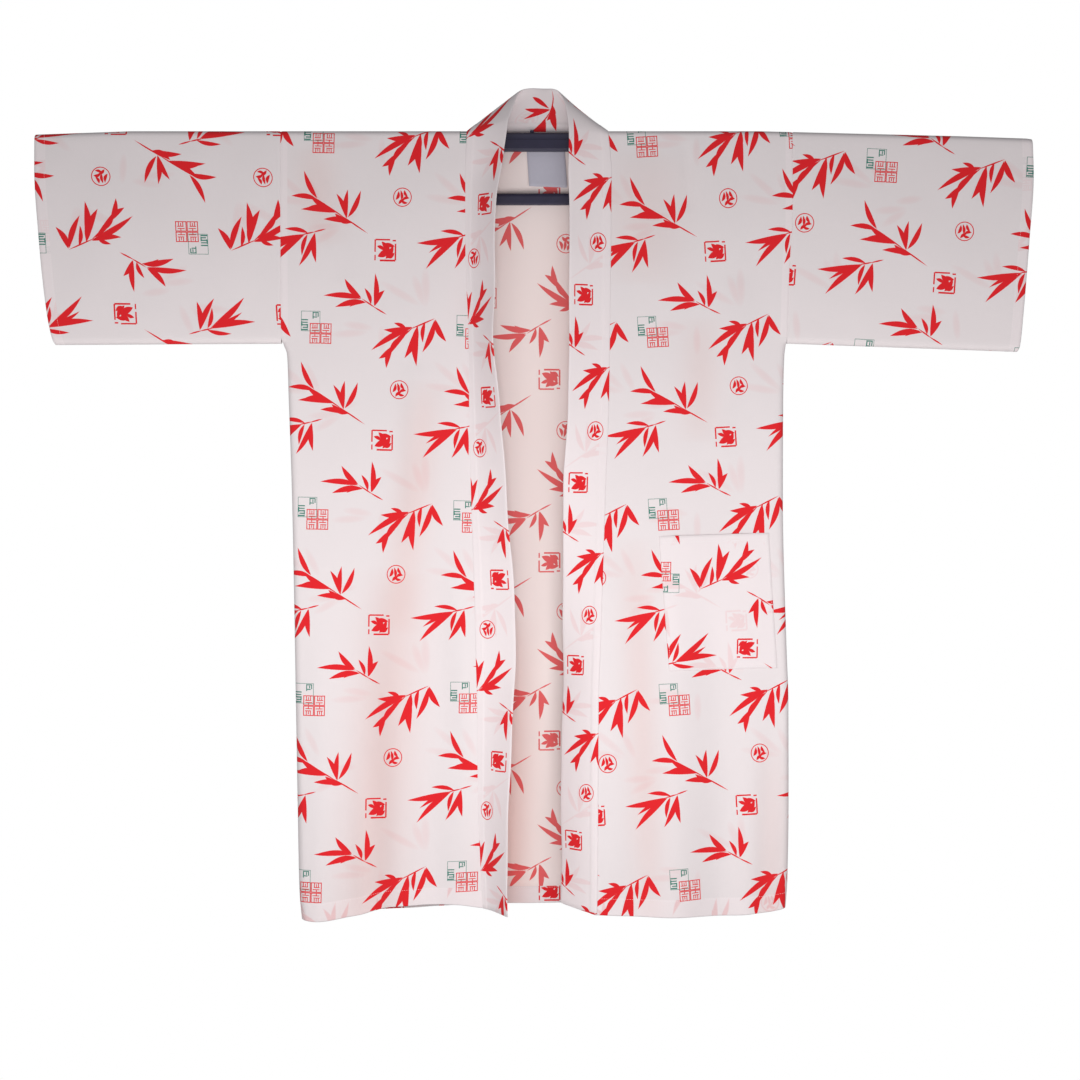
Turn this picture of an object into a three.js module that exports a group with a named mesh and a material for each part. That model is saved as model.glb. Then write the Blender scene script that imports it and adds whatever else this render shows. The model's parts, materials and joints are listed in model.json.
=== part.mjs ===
/**
 * Short yukata on a hanging bar.
 *
 * Units are millimetres. +X is the viewer's right, the front faces -Y and +Z is up. The origin is the
 * top of the little hook socket in the middle of the upper bar. Right and left in the names are the
 * wearer's, so the right front lies on the -X side.
 *
 * Every piece of cloth is one wall: a grid of points in the middle of the cloth, given a thickness
 * along the surface's normals. Pieces that are sewn together share the same curve and stop just short
 * of it on either side.
 */
import * as THREE from 'three';

const { clamp, lerp, smoothstep } = THREE.MathUtils;

// ---- Cloth
const CLOTH = 1.2; // wall of a panel
const BAND = 2.4; // wall of the collar band, which is double cloth
const LABEL = 1.0; // wall of the label
const SEAM = 0.3; // from a seam to the middle edge of each panel that ends there
const BAND_SEAM = 0.55; // from the neck seam to the edge of the band
const LAID = 0.45; // air between a panel and what is sewn on it

// ---- Hanger
const BAR_TOP = -2.6; // top of the upper bar, just under the hook socket
const BAR_HEIGHT = 24;
const BAR_HALF = 6; // half the upper bar's thickness
const BAR_LEDGE = 9; // how far down the front of the upper bar its narrow ledge lies
const BAR_END_RIGHT = -512;
const BAR_END_LEFT = 540;
const BAR_AIR = 0.6; // between the bar and the cloth over it
const RAIL_TOP = -80.2; // top of the lower bar
const RAIL_HEIGHT = 14.8;
const RAIL_HALF = 4.5;
const RAIL_REACH = 150; // half the lower bar's length
const UPRIGHT_AT = 138; // from the middle to each upright
const UPRIGHT_SIDE = 8;
const UPRIGHT_NIP = 1.2; // chamfer of an upright's corners
const SOCKET_RADIUS = 2.5;
const HANGER_GAP = 0.3; // between the hanger's pieces where they meet
const LEDGE = { back: 0.9, slope: 0.6 }; // how deep the ledge is, and how its lower edge slopes
const BAR_ENDS = [
  { inset: 0, size: 0.62 },
  { inset: 2.5, size: 0.92 },
  { inset: 6, size: 1 },
];

// ---- Heights
const OVER = BAR_HALF + BAR_AIR + CLOTH / 2; // radius of the cloth's fold over the bar
const CREST = BAR_TOP + BAR_AIR + CLOTH / 2; // middle of the cloth at the top of that fold
const SPRING = CREST - OVER; // where the fold over the bar ends and the cloth hangs
const UNDERARM = -272;
const SLEEVE_FOOT = -262; // below this height the sleeve seam runs straight down to the lower fold
const HEM = -990; // nominal hem, which each panel's hem table moves up or down
const HEM_EASE = -780; // above this height the hem table has no effect

// ---- Widths
const NECK_CORNER = { right: -82.4, left: 96.6 };
const NECK_EASE = 26; // over which the back rises from the fold over the bar to stand upright
const NECK_BACK = 9; // how far behind the bar's middle the back of the neck stands
const NECK_RISE = 0.4; // height of the seam at the back of the neck
const TURN = 9; // reach of the rounded turn at a side seam or a sleeve's lower fold
const BACK_REACH = 150; // from a side seam to where the back hangs as far out as in its middle
const NECK_SETTLE = -75; // below this height the back hangs free of its standing neck
const FOLD_CALM = 0.12; // share of a front beside the band that the soft folds leave flat

// The cloth's top line falls away past the ends of the bar, and the left arm slopes a little.
const SHOULDER_LINE = [
  { x: -634, drop: 6.4 },
  { x: -512, drop: 0 },
  { x: 290, drop: 0 },
  { x: 546, drop: 6.4 },
  { x: 630, drop: 9.3 },
  { x: 638, drop: 10.5 },
];

// Side seams below the arms, armhole seams above them.
const SIDES = [
  { z: 0, right: -319.7, left: 327.4 },
  { z: -155, right: -319.5, left: 327.4 },
  { z: -262, right: -319.0, left: 327.4 },
  { z: -272, right: -316.8, left: 326.4 },
  { z: -286, right: -312.4, left: 321.9 },
  { z: -345, right: -310.2, left: 320.4 },
  { z: -470, right: -306.0, left: 320.0 },
  { z: -660, right: -302.3, left: 324.7 },
  { z: -725, right: -301.2, left: 327.0 },
  { z: -855, right: -298.8, left: 327.2 },
  { z: -955, right: -296.6, left: 325.6 },
  { z: -1004, right: -291.8, left: 322.0 },
];

// How far each layer hangs from the middle plane: at the sides, and down the middle of the back.
const HANG = [
  { z: 0, side: 7.2, back: 7.2 },
  { z: -60, side: 7.6, back: 9.2 },
  { z: -140, side: 8.3, back: 10.2 },
  { z: -225, side: 7.8, back: 11.0 },
  { z: -272, side: 7.4, back: 11.4 },
  { z: -340, side: 8.6, back: 12.0 },
  { z: -600, side: 10.0, back: 14.5 },
  { z: -990, side: 11.5, back: 18.5 },
];

// The collar band down each front: its sewn edge, its free edge, and how far each stands forward. The
// free edge climbs ahead of the sewn one near the shoulder.
const BAND_RIGHT = [
  { z: -8.6, seamX: -82.4, seam: 7.2, edgeX: -30.5, edge: 20, rise: 19 },
  { z: -20, seamX: -83.0, seam: 7.3, edgeX: -32.6, edge: 25, rise: 11 },
  { z: -34, seamX: -83.7, seam: 7.8, edgeX: -35.2, edge: 29, rise: 4 },
  { z: -50, seamX: -84.2, seam: 8.4, edgeX: -37.7, edge: 33, rise: 0 },
  { z: -95, seamX: -84.5, seam: 10.0, edgeX: -44.9, edge: 43, rise: 0 },
  { z: -165, seamX: -84.2, seam: 12.0, edgeX: -47.0, edge: 48, rise: 0 },
  { z: -255, seamX: -80.6, seam: 14.5, edgeX: -48.0, edge: 54, rise: 0 },
  { z: -355, seamX: -79.3, seam: 17.5, edgeX: -40.3, edge: 52, rise: 0 },
  { z: -460, seamX: -76.8, seam: 20.5, edgeX: -32.3, edge: 47, rise: 0 },
  { z: -600, seamX: -72.0, seam: 24.0, edgeX: -22.2, edge: 42, rise: 0 },
  { z: -665, seamX: -70.4, seam: 25.5, edgeX: -20.6, edge: 43, rise: 0 },
  { z: -726, seamX: -68.9, seam: 26.5, edgeX: -22.7, edge: 50, rise: 0 },
  { z: -855, seamX: -68.0, seam: 27.5, edgeX: -29.6, edge: 61, rise: -1 },
  { z: -930, seamX: -65.0, seam: 28.0, edgeX: -30.4, edge: 64, rise: -3 },
  { z: -990, seamX: -62.3, seam: 28.0, edgeX: -29.8, edge: 64, rise: -6 },
];
const BAND_LEFT = [
  { z: -8.6, seamX: 96.6, seam: 7.2, edgeX: 46.6, edge: 15, rise: 12 },
  { z: -20, seamX: 98.0, seam: 7.3, edgeX: 47.2, edge: 18, rise: 8 },
  { z: -34, seamX: 99.4, seam: 7.8, edgeX: 46.8, edge: 20, rise: 3 },
  { z: -50, seamX: 100.5, seam: 8.4, edgeX: 46.5, edge: 22, rise: 0 },
  { z: -95, seamX: 100.2, seam: 10.0, edgeX: 48.0, edge: 24, rise: 0 },
  { z: -165, seamX: 99.4, seam: 13.0, edgeX: 47.0, edge: 27, rise: 0 },
  { z: -255, seamX: 98.2, seam: 17.0, edgeX: 47.5, edge: 30, rise: 0 },
  { z: -345, seamX: 96.8, seam: 22.0, edgeX: 46.0, edge: 33, rise: 0 },
  { z: -460, seamX: 92.4, seam: 28.0, edgeX: 39.8, edge: 30, rise: 0 },
  { z: -550, seamX: 89.3, seam: 33.0, edgeX: 39.5, edge: 24, rise: 0 },
  { z: -650, seamX: 85.9, seam: 38.0, edgeX: 39.5, edge: 17, rise: 0 },
  { z: -726, seamX: 83.3, seam: 41.0, edgeX: 39.1, edge: 15, rise: 0 },
  { z: -855, seamX: 82.6, seam: 44.0, edgeX: 37.0, edge: 15, rise: 0 },
  { z: -930, seamX: 82.2, seam: 45.5, edgeX: 37.2, edge: 16, rise: 4 },
  { z: -990, seamX: 81.3, seam: 46.0, edgeX: 37.8, edge: 16, rise: 11 },
];

// The band over the shoulders and round the back of the neck. The seam is placed by its angle over the
// bar at the shoulders (degrees from the top, front negative) and by x along the back; the free edge
// is a point. clear is how far the band keeps from the seam.
const NECK = [
  { over: -60, seamX: -82.4, edgeX: -26.5, edgeY: -15.0, edgeZ: 22.0, clear: 0.7 },
  { over: -30, seamX: -82.4, edgeX: -22.0, edgeY: -8.0, edgeZ: 36.0, clear: 1.2 },
  { over: 0, seamX: -82.4, edgeX: -18.4, edgeY: 0.0, edgeZ: 47.4, clear: 1.6 },
  { over: 0, seamX: -79.5, edgeX: -14.6, edgeY: 6.0, edgeZ: 50.2, clear: 1.4 },
  { over: 0, seamX: -74.0, edgeX: -10.0, edgeY: 10.2, edgeZ: 51.6, clear: 1.1 },
  { over: 0, seamX: -64.0, edgeX: -4.2, edgeY: 12.6, edgeZ: 52.2, clear: 0.7 },
  { over: 0, seamX: -45.0, edgeX: 2.0, edgeY: 13.6, edgeZ: 52.6, clear: 0.6 },
  { over: 0, seamX: -20.0, edgeX: 7.6, edgeY: 14.0, edgeZ: 52.8, clear: 0.6 },
  { over: 0, seamX: 7.0, edgeX: 13.2, edgeY: 14.2, edgeZ: 52.8, clear: 0.6 },
  { over: 0, seamX: 34.0, edgeX: 18.8, edgeY: 14.2, edgeZ: 52.8, clear: 0.6 },
  { over: 0, seamX: 58.0, edgeX: 24.6, edgeY: 13.8, edgeZ: 52.7, clear: 0.6 },
  { over: 0, seamX: 78.0, edgeX: 30.2, edgeY: 12.4, edgeZ: 51.6, clear: 0.8 },
  { over: 0, seamX: 88.0, edgeX: 34.6, edgeY: 9.4, edgeZ: 48.4, clear: 1.1 },
  { over: 0, seamX: 93.8, edgeX: 38.0, edgeY: 4.6, edgeZ: 44.0, clear: 1.4 },
  { over: 0, seamX: 96.6, edgeX: 40.6, edgeY: -1.2, edgeZ: 38.6, clear: 1.6 },
  { over: -30, seamX: 96.6, edgeX: 43.0, edgeY: -6.6, edgeZ: 28.6, clear: 1.2 },
  { over: -60, seamX: 96.6, edgeX: 45.2, edgeY: -11.2, edgeZ: 16.0, clear: 0.7 },
];
const BAND_CURL = 0.5; // how much the band's section curves away from the front it is sewn to
const BAND_TOP_SEAM = 0.6; // the band's distance from its seam at the shoulder
const BAND_EASE = { from: 8, to: 60 }; // how far below the shoulder the curl and distance settle

// Hems, by the share of the way from the side seam to the neck seam, or across the whole back.
const HEM_RIGHT = [
  { across: 0, z: -1004.7 },
  { across: 0.07, z: -1008.0 },
  { across: 0.3, z: -995.5 },
  { across: 0.52, z: -986.5 },
  { across: 0.85, z: -985.5 },
  { across: 1, z: -989.0 },
];
const HEM_LEFT = [
  { across: 0, z: -986.0 },
  { across: 0.1, z: -994.5 },
  { across: 0.3, z: -999.5 },
  { across: 0.6, z: -1000.2 },
  { across: 1, z: -996.0 },
];
const HEM_BACK = [
  { across: 0, z: -1004.7 },
  { across: 0.12, z: -997.0 },
  { across: 0.36, z: -991.0 },
  { across: 0.48, z: -988.8 },
  { across: 0.75, z: -990.0 },
  { across: 1, z: -986.0 },
];

// Soft folds that open towards the hem. forward is how far the cloth comes to the front there, lean is
// how far the fold drifts in x from its top to the hem.
const FOLDS = {
  right_front: [
    { x: -272, top: -420, width: 24, forward: 8, lean: 6 },
    { x: -216, top: -330, width: 26, forward: -4, lean: 10 },
    { x: -176, top: -300, width: 22, forward: 4, lean: 8 },
    { x: -138, top: -260, width: 26, forward: -7, lean: 14 },
  ],
  left_front: [
    { x: 286, top: -640, width: 22, forward: 5, lean: -6 },
    { x: 232, top: -300, width: 26, forward: -5, lean: 10 },
    { x: 176, top: -420, width: 28, forward: 7, lean: 8 },
    { x: 128, top: -300, width: 22, forward: -4, lean: 6 },
  ],
  back: [
    { x: -236, top: -320, width: 30, forward: -6, lean: 6 },
    { x: -160, top: -260, width: 28, forward: 5, lean: 10 },
    { x: -78, top: -380, width: 30, forward: -5, lean: 6 },
    { x: 6, top: -300, width: 26, forward: 4, lean: -6 },
    { x: 92, top: -240, width: 30, forward: -6, lean: -8 },
    { x: 178, top: -420, width: 28, forward: 5, lean: 6 },
    { x: 254, top: -300, width: 28, forward: -5, lean: 10 },
  ],
};

// Sleeves: the cuff's edge by height, and the lower fold by x.
const CUFFS = [
  { z: -3, right: -632.4, left: 636.4 },
  { z: -45, right: -632.4, left: 637.5 },
  { z: -127, right: -627.3, left: 632.2 },
  { z: -229, right: -617.0, left: 624.0 },
  { z: -262, right: -612.4, left: 620.6 },
  { z: -284, right: -605.0, left: 614.0 },
];
const SLEEVE_FOLD = {
  right: [{ x: -640, z: -273.8 }, { x: -310, z: UNDERARM }],
  left: [{ x: 327.7, z: UNDERARM }, { x: 640, z: -283.2 }],
};

// The patch pocket on the left front: its corners.
const POCKET = {
  top: [{ x: 160.7, z: -517.6 }, { x: 300.5, z: -513.0 }],
  bottom: [{ x: 173.2, z: -687.2 }, { x: 311.0, z: -684.0 }],
};

// The bare label that hangs from the neck seam inside the back: its corners.
const LABEL_PATCH = {
  top: [{ x: -8.0, z: -5.0 }, { x: 40.6, z: -4.0 }],
  bottom: [{ x: -3.4, z: -69.6 }, { x: 44.6, z: -71.6 }],
};

// ---- Grid steps
const ARC = [0, 30, 60, 90].map(THREE.MathUtils.degToRad); // a quarter turn over the bar or at a side
const HEIGHTS = [
  -26, -50, -95, -150, -205, UNDERARM + TURN, UNDERARM + TURN * 0.5, UNDERARM + TURN * 0.13, UNDERARM,
  -280, -292, -345, -410, -480, -555, -630, -705, -780, -850, -915, -955, HEM,
];
const FRONT_COLUMNS = 14; // from the side's turn to the neck seam
const SHOULDER_COLUMNS = 11; // of the back, from each side's turn to the neck's corner
const SLEEVE_STATIONS = [0, 0.12, 0.3, 0.46, 0.62, 0.72, 0.86, 1];
const SLEEVE_ROWS = [0.1, 0.3, 0.5, 0.7, 0.9]; // between the fold over the bar and the lower fold
const BAND_HEIGHTS = [
  -990, -955, -915, -850, -780, -705, -630, -555, -480, -410, -345, -280, -225, -165, -120, -85, -60,
  -42, -30, -20, -13.5, -8.6,
];
const BAND_ACROSS = [0, 0.16, 0.36, 0.58, 0.8, 1];

/** The value of one column of a table at a key, by smooth steps that never overshoot. */
function at(table, key, column, value) {
  const rows = [...table].sort((a, b) => a[key] - b[key]);
  const last = rows.length - 1;
  if (value <= rows[0][key]) return rows[0][column];
  if (value >= rows[last][key]) return rows[last][column];
  const i = rows.findIndex((row, n) => value < rows[n + 1][key]);
  const slope = (n) => (rows[n + 1][column] - rows[n][column]) / (rows[n + 1][key] - rows[n][key]);
  const tangent = (n) => {
    if (n === 0) return slope(0);
    if (n === last) return slope(last - 1);
    const [before, after] = [slope(n - 1), slope(n)];
    if (before * after <= 0) return 0;
    return (2 * before * after) / (before + after);
  };
  const run = rows[i + 1][key] - rows[i][key];
  const t = (value - rows[i][key]) / run;
  const start = (1 + 2 * t) * (1 - t) ** 2 * rows[i][column] + t * (1 - t) ** 2 * run * tangent(i);
  const end = t * t * (3 - 2 * t) * rows[i + 1][column] + t * t * (t - 1) * run * tangent(i + 1);
  return start + end;
}

/** A straight-line reading of a table, for lines that are straight between their rows. */
function along(table, key, column, value) {
  const last = table.length - 1;
  if (value <= table[0][key]) return table[0][column];
  if (value >= table[last][key]) return table[last][column];
  const i = table.findIndex((row, n) => value < table[n + 1][key]);
  const t = (value - table[i][key]) / (table[i + 1][key] - table[i][key]);
  return lerp(table[i][column], table[i + 1][column], t);
}

const shoulderDrop = (x) => along(SHOULDER_LINE, 'x', 'drop', x);

/** From 0 on a seam to 1 at the reach of its turn, as a quarter circle. */
function quarter(distance, reach) {
  const t = clamp(distance / reach, 0, 1);
  return Math.sqrt(1 - (1 - t) ** 2);
}

/** How open the two layers are near a side seam, which starts at the underarm. */
function openAtSide(x, z, side) {
  const inward = Math.abs(x - at(SIDES, 'z', side, z));
  const above = Math.max(z - UNDERARM, 0);
  return quarter(Math.hypot(inward, above), TURN);
}

/** How far the soft folds of a panel bring it forward at a point. */
function foldForward(panel, x, z) {
  return FOLDS[panel].reduce((sum, fold) => {
    const grown = smoothstep(fold.top - z, 0, fold.top - HEM);
    const axis = fold.x + fold.lean * clamp((fold.top - z) / (fold.top - HEM), 0, 1);
    return sum + fold.forward * grown * Math.exp(-(((x - axis) / fold.width) ** 2));
  }, 0);
}

/** The actual height of a nominal one, once the hem's own line is taken in. */
function hang(z, hemZ) {
  if (z >= HEM_EASE) return z;
  return HEM_EASE + ((z - HEM_EASE) * (hemZ - HEM_EASE)) / (HEM - HEM_EASE);
}

/** The fold over the bar: how far out and how far down, at an angle from its top. */
function overBar(angle, depth) {
  return { out: SEAM + (depth - SEAM) * Math.sin(angle), down: OVER * (1 - Math.cos(angle)) };
}

// ---- Panels as surfaces

/** A point of a front panel below the fold over the bar; x and nominal height. */
function frontPoint(side, x, z) {
  const band = side === 'right' ? BAND_RIGHT : BAND_LEFT;
  const sideX = at(SIDES, 'z', side, z);
  const seamX = at(band, 'z', 'seamX', z);
  const across = clamp((x - sideX) / (seamX - sideX), 0, 1);
  const hanging = lerp(at(HANG, 'z', 'side', z), at(band, 'z', 'seam', z), smoothstep(across, 0, 1));
  const calm = smoothstep(1 - across, 0, FOLD_CALM);
  const depth = hanging + calm * foldForward(`${side}_front`, x, z);
  const open = openAtSide(x, z, side);
  const hemZ = at(side === 'right' ? HEM_RIGHT : HEM_LEFT, 'across', 'z', across);
  return new THREE.Vector3(x, -(SEAM + (depth - SEAM) * open), hang(z, hemZ) - shoulderDrop(x));
}

/** A point of the back panel below the fold over the bar; x and nominal height. */
function backPoint(x, z) {
  const sides = { right: at(SIDES, 'z', 'right', z), left: at(SIDES, 'z', 'left', z) };
  const inward = Math.min(x - sides.right, sides.left - x);
  const middle = smoothstep(inward, 0, BACK_REACH);
  const neck = standing(x) * smoothstep(z, NECK_SETTLE, SPRING);
  const hanging = lerp(at(HANG, 'z', 'side', z), at(HANG, 'z', 'back', z), middle);
  const depth = lerp(hanging, NECK_BACK, neck) - middle * foldForward('back', x, z);
  const open = Math.min(openAtSide(x, z, 'right'), openAtSide(x, z, 'left'));
  const across = (x - sides.right) / (sides.left - sides.right);
  const hemZ = at(HEM_BACK, 'across', 'z', across);
  return new THREE.Vector3(x, SEAM + (depth - SEAM) * open, hang(z, hemZ) - shoulderDrop(x));
}

/** How upright the top of the back stands at x: 0 over the shoulders, 1 behind the neck. */
function standing(x) {
  const inside = Math.min(x - NECK_CORNER.right, NECK_CORNER.left - x);
  return smoothstep(inside, 0, NECK_EASE);
}

/** A point of the back's upper edge strip, which folds over the bar or stands behind the neck. */
function backTopPoint(x, angle) {
  const fold = overBar(angle, at(HANG, 'z', 'side', 0));
  const folded = new THREE.Vector3(x, fold.out, CREST - fold.down - shoulderDrop(x));
  const up = lerp(NECK_RISE, SPRING, angle / (Math.PI / 2));
  return folded.lerp(new THREE.Vector3(x, NECK_BACK, up), standing(x));
}

/** A point of a front's upper edge strip, which folds over the bar. */
function frontTopPoint(x, angle) {
  const fold = overBar(angle, at(HANG, 'z', 'side', 0));
  return new THREE.Vector3(x, -fold.out, CREST - fold.down - shoulderDrop(x));
}

/** The x positions of one row: close together in the turn at the side, then even. */
function spread(sideX, seamX, columns) {
  const inward = Math.sign(seamX - sideX);
  const turned = ARC.map((angle) => sideX + inward * TURN * (1 - Math.cos(angle)));
  const start = turned[turned.length - 1];
  const even = Array.from({ length: columns }, (_, n) => lerp(start, seamX, (n + 1) / columns));
  return [...turned, ...even];
}

// ---- Walls

/** The normal of a grid of points at one of them, from its neighbours. */
function gridNormal(grid, row, column, round) {
  const rows = grid.length;
  const columns = grid[0].length;
  const wrap = (n) => (round ? (n + columns) % columns : clamp(n, 0, columns - 1));
  const across = grid[row][wrap(column + 1)].clone().sub(grid[row][wrap(column - 1)]);
  const down = grid[Math.min(row + 1, rows - 1)][column].clone();
  down.sub(grid[Math.max(row - 1, 0)][column]);
  return across.cross(down).normalize();
}

/** A closed solid from flat lists of corners and triangles, turned so that its faces point out. */
function solid(points, faces) {
  let volume = 0;
  for (const [a, b, c] of faces) {
    volume += points[a].dot(new THREE.Vector3().crossVectors(points[b], points[c]));
  }
  const turned = volume > 0 ? faces : faces.map(([a, b, c]) => [a, c, b]);
  const geometry = new THREE.BufferGeometry().setFromPoints(points);
  geometry.setIndex(turned.flat());
  geometry.computeVertexNormals();
  return geometry;
}

/** A wall of even thickness on a grid of points; round joins the last column to the first. */
function wall(grid, thickness, round = false) {
  const rows = grid.length;
  const columns = grid[0].length;
  const points = [];
  for (const side of [0.5, -0.5]) {
    grid.forEach((line, row) => {
      line.forEach((point, column) => {
        const offset = gridNormal(grid, row, column, round).multiplyScalar(side * thickness);
        points.push(point.clone().add(offset));
      });
    });
  }
  const corner = (row, column, back) => (back ? rows * columns : 0) + row * columns + (column % columns);
  const faces = [];
  const quad = (a, b, c, d) => faces.push([a, b, c], [a, c, d]);
  const cells = round ? columns : columns - 1;
  for (let row = 0; row < rows - 1; row += 1) {
    for (let column = 0; column < cells; column += 1) {
      const next = column + 1;
      quad(corner(row, column), corner(row, next), corner(row + 1, next), corner(row + 1, column));
      quad(
        corner(row, column, true), corner(row + 1, column, true),
        corner(row + 1, next, true), corner(row, next, true),
      );
    }
    if (!round) {
      const end = columns - 1;
      quad(corner(row, 0), corner(row + 1, 0), corner(row + 1, 0, true), corner(row, 0, true));
      quad(corner(row, end), corner(row, end, true), corner(row + 1, end, true), corner(row + 1, end));
    }
  }
  for (let column = 0; column < cells; column += 1) {
    const next = column + 1;
    const end = rows - 1;
    quad(corner(0, column), corner(0, column, true), corner(0, next, true), corner(0, next));
    quad(corner(end, column), corner(end, next), corner(end, next, true), corner(end, column, true));
  }
  return solid(points, faces);
}

/** A solid bar through rings of points, closed by a fan at each end. */
function bar(rings) {
  const count = rings[0].length;
  const points = rings.flat();
  const middles = [rings[0], rings[rings.length - 1]].map((ring) => {
    const middle = ring.reduce((sum, point) => sum.add(point), new THREE.Vector3());
    return points.push(middle.divideScalar(count)) - 1;
  });
  const faces = [];
  for (let ring = 0; ring < rings.length - 1; ring += 1) {
    for (let n = 0; n < count; n += 1) {
      const [a, b] = [ring * count + n, ring * count + ((n + 1) % count)];
      faces.push([a, b, b + count], [a, b + count, a + count]);
    }
  }
  const start = (rings.length - 1) * count;
  for (let n = 0; n < count; n += 1) {
    faces.push([middles[0], (n + 1) % count, n]);
    faces.push([middles[1], start + n, start + ((n + 1) % count)]);
  }
  return solid(points, faces);
}

// ---- Pieces of cloth

function front(side) {
  const band = side === 'right' ? BAND_RIGHT : BAND_LEFT;
  const inward = side === 'right' ? -1 : 1;
  const seamX = (z) => at(band, 'z', 'seamX', z) + inward * SEAM;
  const topRow = spread(at(SIDES, 'z', side, 0), seamX(SPRING), FRONT_COLUMNS);
  const top = ARC.map((angle) => topRow.map((x) => frontTopPoint(x, angle)));
  const hanging = HEIGHTS.map((z) => {
    const row = spread(at(SIDES, 'z', side, z), seamX(z), FRONT_COLUMNS);
    return row.map((x) => frontPoint(side, x, z));
  });
  return wall([...top, ...hanging], CLOTH);
}

function back() {
  const easing = [0, 0.3, 0.6, 1].map((share) => share * NECK_EASE);
  const rising = easing.map((inside) => NECK_CORNER.right + inside);
  const falling = [...easing].reverse().map((inside) => NECK_CORNER.left - inside);
  const between = [0.2, 0.4, 0.6, 0.8].map((share) => lerp(rising.at(-1), falling[0], share));
  const neck = [...rising, ...between, ...falling];
  const rowAt = (z) => {
    const right = spread(at(SIDES, 'z', 'right', z), NECK_CORNER.right, SHOULDER_COLUMNS);
    const left = spread(at(SIDES, 'z', 'left', z), NECK_CORNER.left, SHOULDER_COLUMNS);
    return [...right.slice(0, -1), ...neck, ...left.slice(0, -1).reverse()];
  };
  const top = ARC.map((angle) => rowAt(0).map((x) => backTopPoint(x, angle)));
  const hanging = HEIGHTS.map((z) => rowAt(z).map((x) => backPoint(x, z)));
  return wall([...top, ...hanging], CLOTH);
}

/** One sleeve: a flat tube that hangs over the bar, folded below, open at the cuff and the armhole. */
function sleeve(side) {
  const outward = side === 'right' ? -1 : 1;
  const point = (share, sign, height) => {
    const seam = at(SIDES, 'z', side, Math.max(height.nominal, SLEEVE_FOOT)) + outward * 2 * SEAM;
    const x = lerp(seam, at(CUFFS, 'z', side, height.nominal), share);
    const low = along(SLEEVE_FOLD[side], 'x', 'z', x);
    const crest = CREST - shoulderDrop(x);
    const z = height.top ? crest - height.down : lerp(crest - OVER, low + TURN, height.share) - height.down;
    return new THREE.Vector3(x, sign * height.out, z);
  };
  const depth = (z) => at(HANG, 'z', 'side', z);
  const upper = ARC.map((angle) => {
    const down = OVER * (1 - Math.cos(angle));
    return { top: true, down, out: depth(0) * Math.sin(angle), nominal: CREST - down };
  });
  const middle = SLEEVE_ROWS.map((share) => {
    const nominal = lerp(SPRING, UNDERARM + TURN, share);
    return { share, down: 0, out: depth(nominal), nominal };
  });
  const lower = [...ARC].reverse().map((angle) => {
    const down = TURN * Math.cos(angle);
    const nominal = UNDERARM + TURN - down;
    return { share: 1, down, out: depth(nominal) * Math.sin(angle), nominal };
  });
  const heights = [...upper, ...middle, ...lower];
  const behind = heights.slice(1, -1).reverse();
  const grid = SLEEVE_STATIONS.map((share) => [
    ...heights.map((height) => point(share, -1, height)),
    ...behind.map((height) => point(share, 1, height)),
  ]);
  return wall(grid, CLOTH, true);
}

/** The two edges of the collar band at a height of one front. */
function bandEdges(side, z) {
  const table = side === 'right' ? BAND_RIGHT : BAND_LEFT;
  const hemZ = at(side === 'right' ? HEM_RIGHT : HEM_LEFT, 'across', 'z', 1);
  const seamX = at(table, 'z', 'seamX', z);
  const seam = new THREE.Vector3(seamX, -at(table, 'z', 'seam', z), hang(z, hemZ));
  const edge = new THREE.Vector3(
    at(table, 'z', 'edgeX', z), -at(table, 'z', 'edge', z), hang(z, hemZ) + at(table, 'z', 'rise', z),
  );
  const settled = smoothstep(-z, BAND_EASE.from, BAND_EASE.to);
  return { seam, edge, curl: 1 + BAND_CURL * settled, clear: lerp(BAND_TOP_SEAM, BAND_SEAM, settled) };
}

/** The two edges of the band at a row of the neck's table. */
function neckEdges(row) {
  const angle = THREE.MathUtils.degToRad(-row.over);
  const seam = row.over < 0 ? frontTopPoint(row.seamX, angle) : backTopPoint(row.seamX, 0);
  return { seam, edge: new THREE.Vector3(row.edgeX, row.edgeY, row.edgeZ), curl: 1, clear: row.clear };
}

/** One line across the band, from its sewn edge to its free one. */
function bandLine({ seam, edge, curl, clear }) {
  const start = seam.clone().add(edge.clone().sub(seam).setLength(clear));
  return BAND_ACROSS.map((share) => {
    const point = start.clone().lerp(edge, share);
    point.y = lerp(start.y, edge.y, share ** curl);
    return point;
  });
}

function collar() {
  const right = BAND_HEIGHTS.map((z) => bandEdges('right', z));
  const left = [...BAND_HEIGHTS].reverse().map((z) => bandEdges('left', z));
  return wall([...right, ...NECK.map(neckEdges), ...left].map(bandLine), BAND);
}

/** A patch laid on a panel: a grid of its corners, moved out from the panel's own points. */
function patch(corners, surface, rows, columns, thickness) {
  const grid = [];
  for (let row = 0; row <= rows; row += 1) {
    const line = [];
    for (let column = 0; column <= columns; column += 1) {
      const [down, across] = [row / rows, column / columns];
      const edge = (name, key) => lerp(corners[name][0][key], corners[name][1][key], across);
      line.push(surface(lerp(edge('top', 'x'), edge('bottom', 'x'), down),
        lerp(edge('top', 'z'), edge('bottom', 'z'), down)));
    }
    grid.push(line);
  }
  return wall(grid, thickness);
}

/** A surface moved out along its own normal. */
function movedOut(surface, distance) {
  const step = 1;
  return (x, z) => {
    const here = surface(x, z);
    const across = surface(x + step, z).sub(surface(x - step, z));
    const up = surface(x, z + step).sub(surface(x, z - step));
    return here.add(across.cross(up).setLength(distance));
  };
}

function pocket() {
  const out = CLOTH + LAID;
  return patch(POCKET, movedOut((x, z) => frontPoint('left', x, z), out), 8, 8, CLOTH);
}

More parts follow.
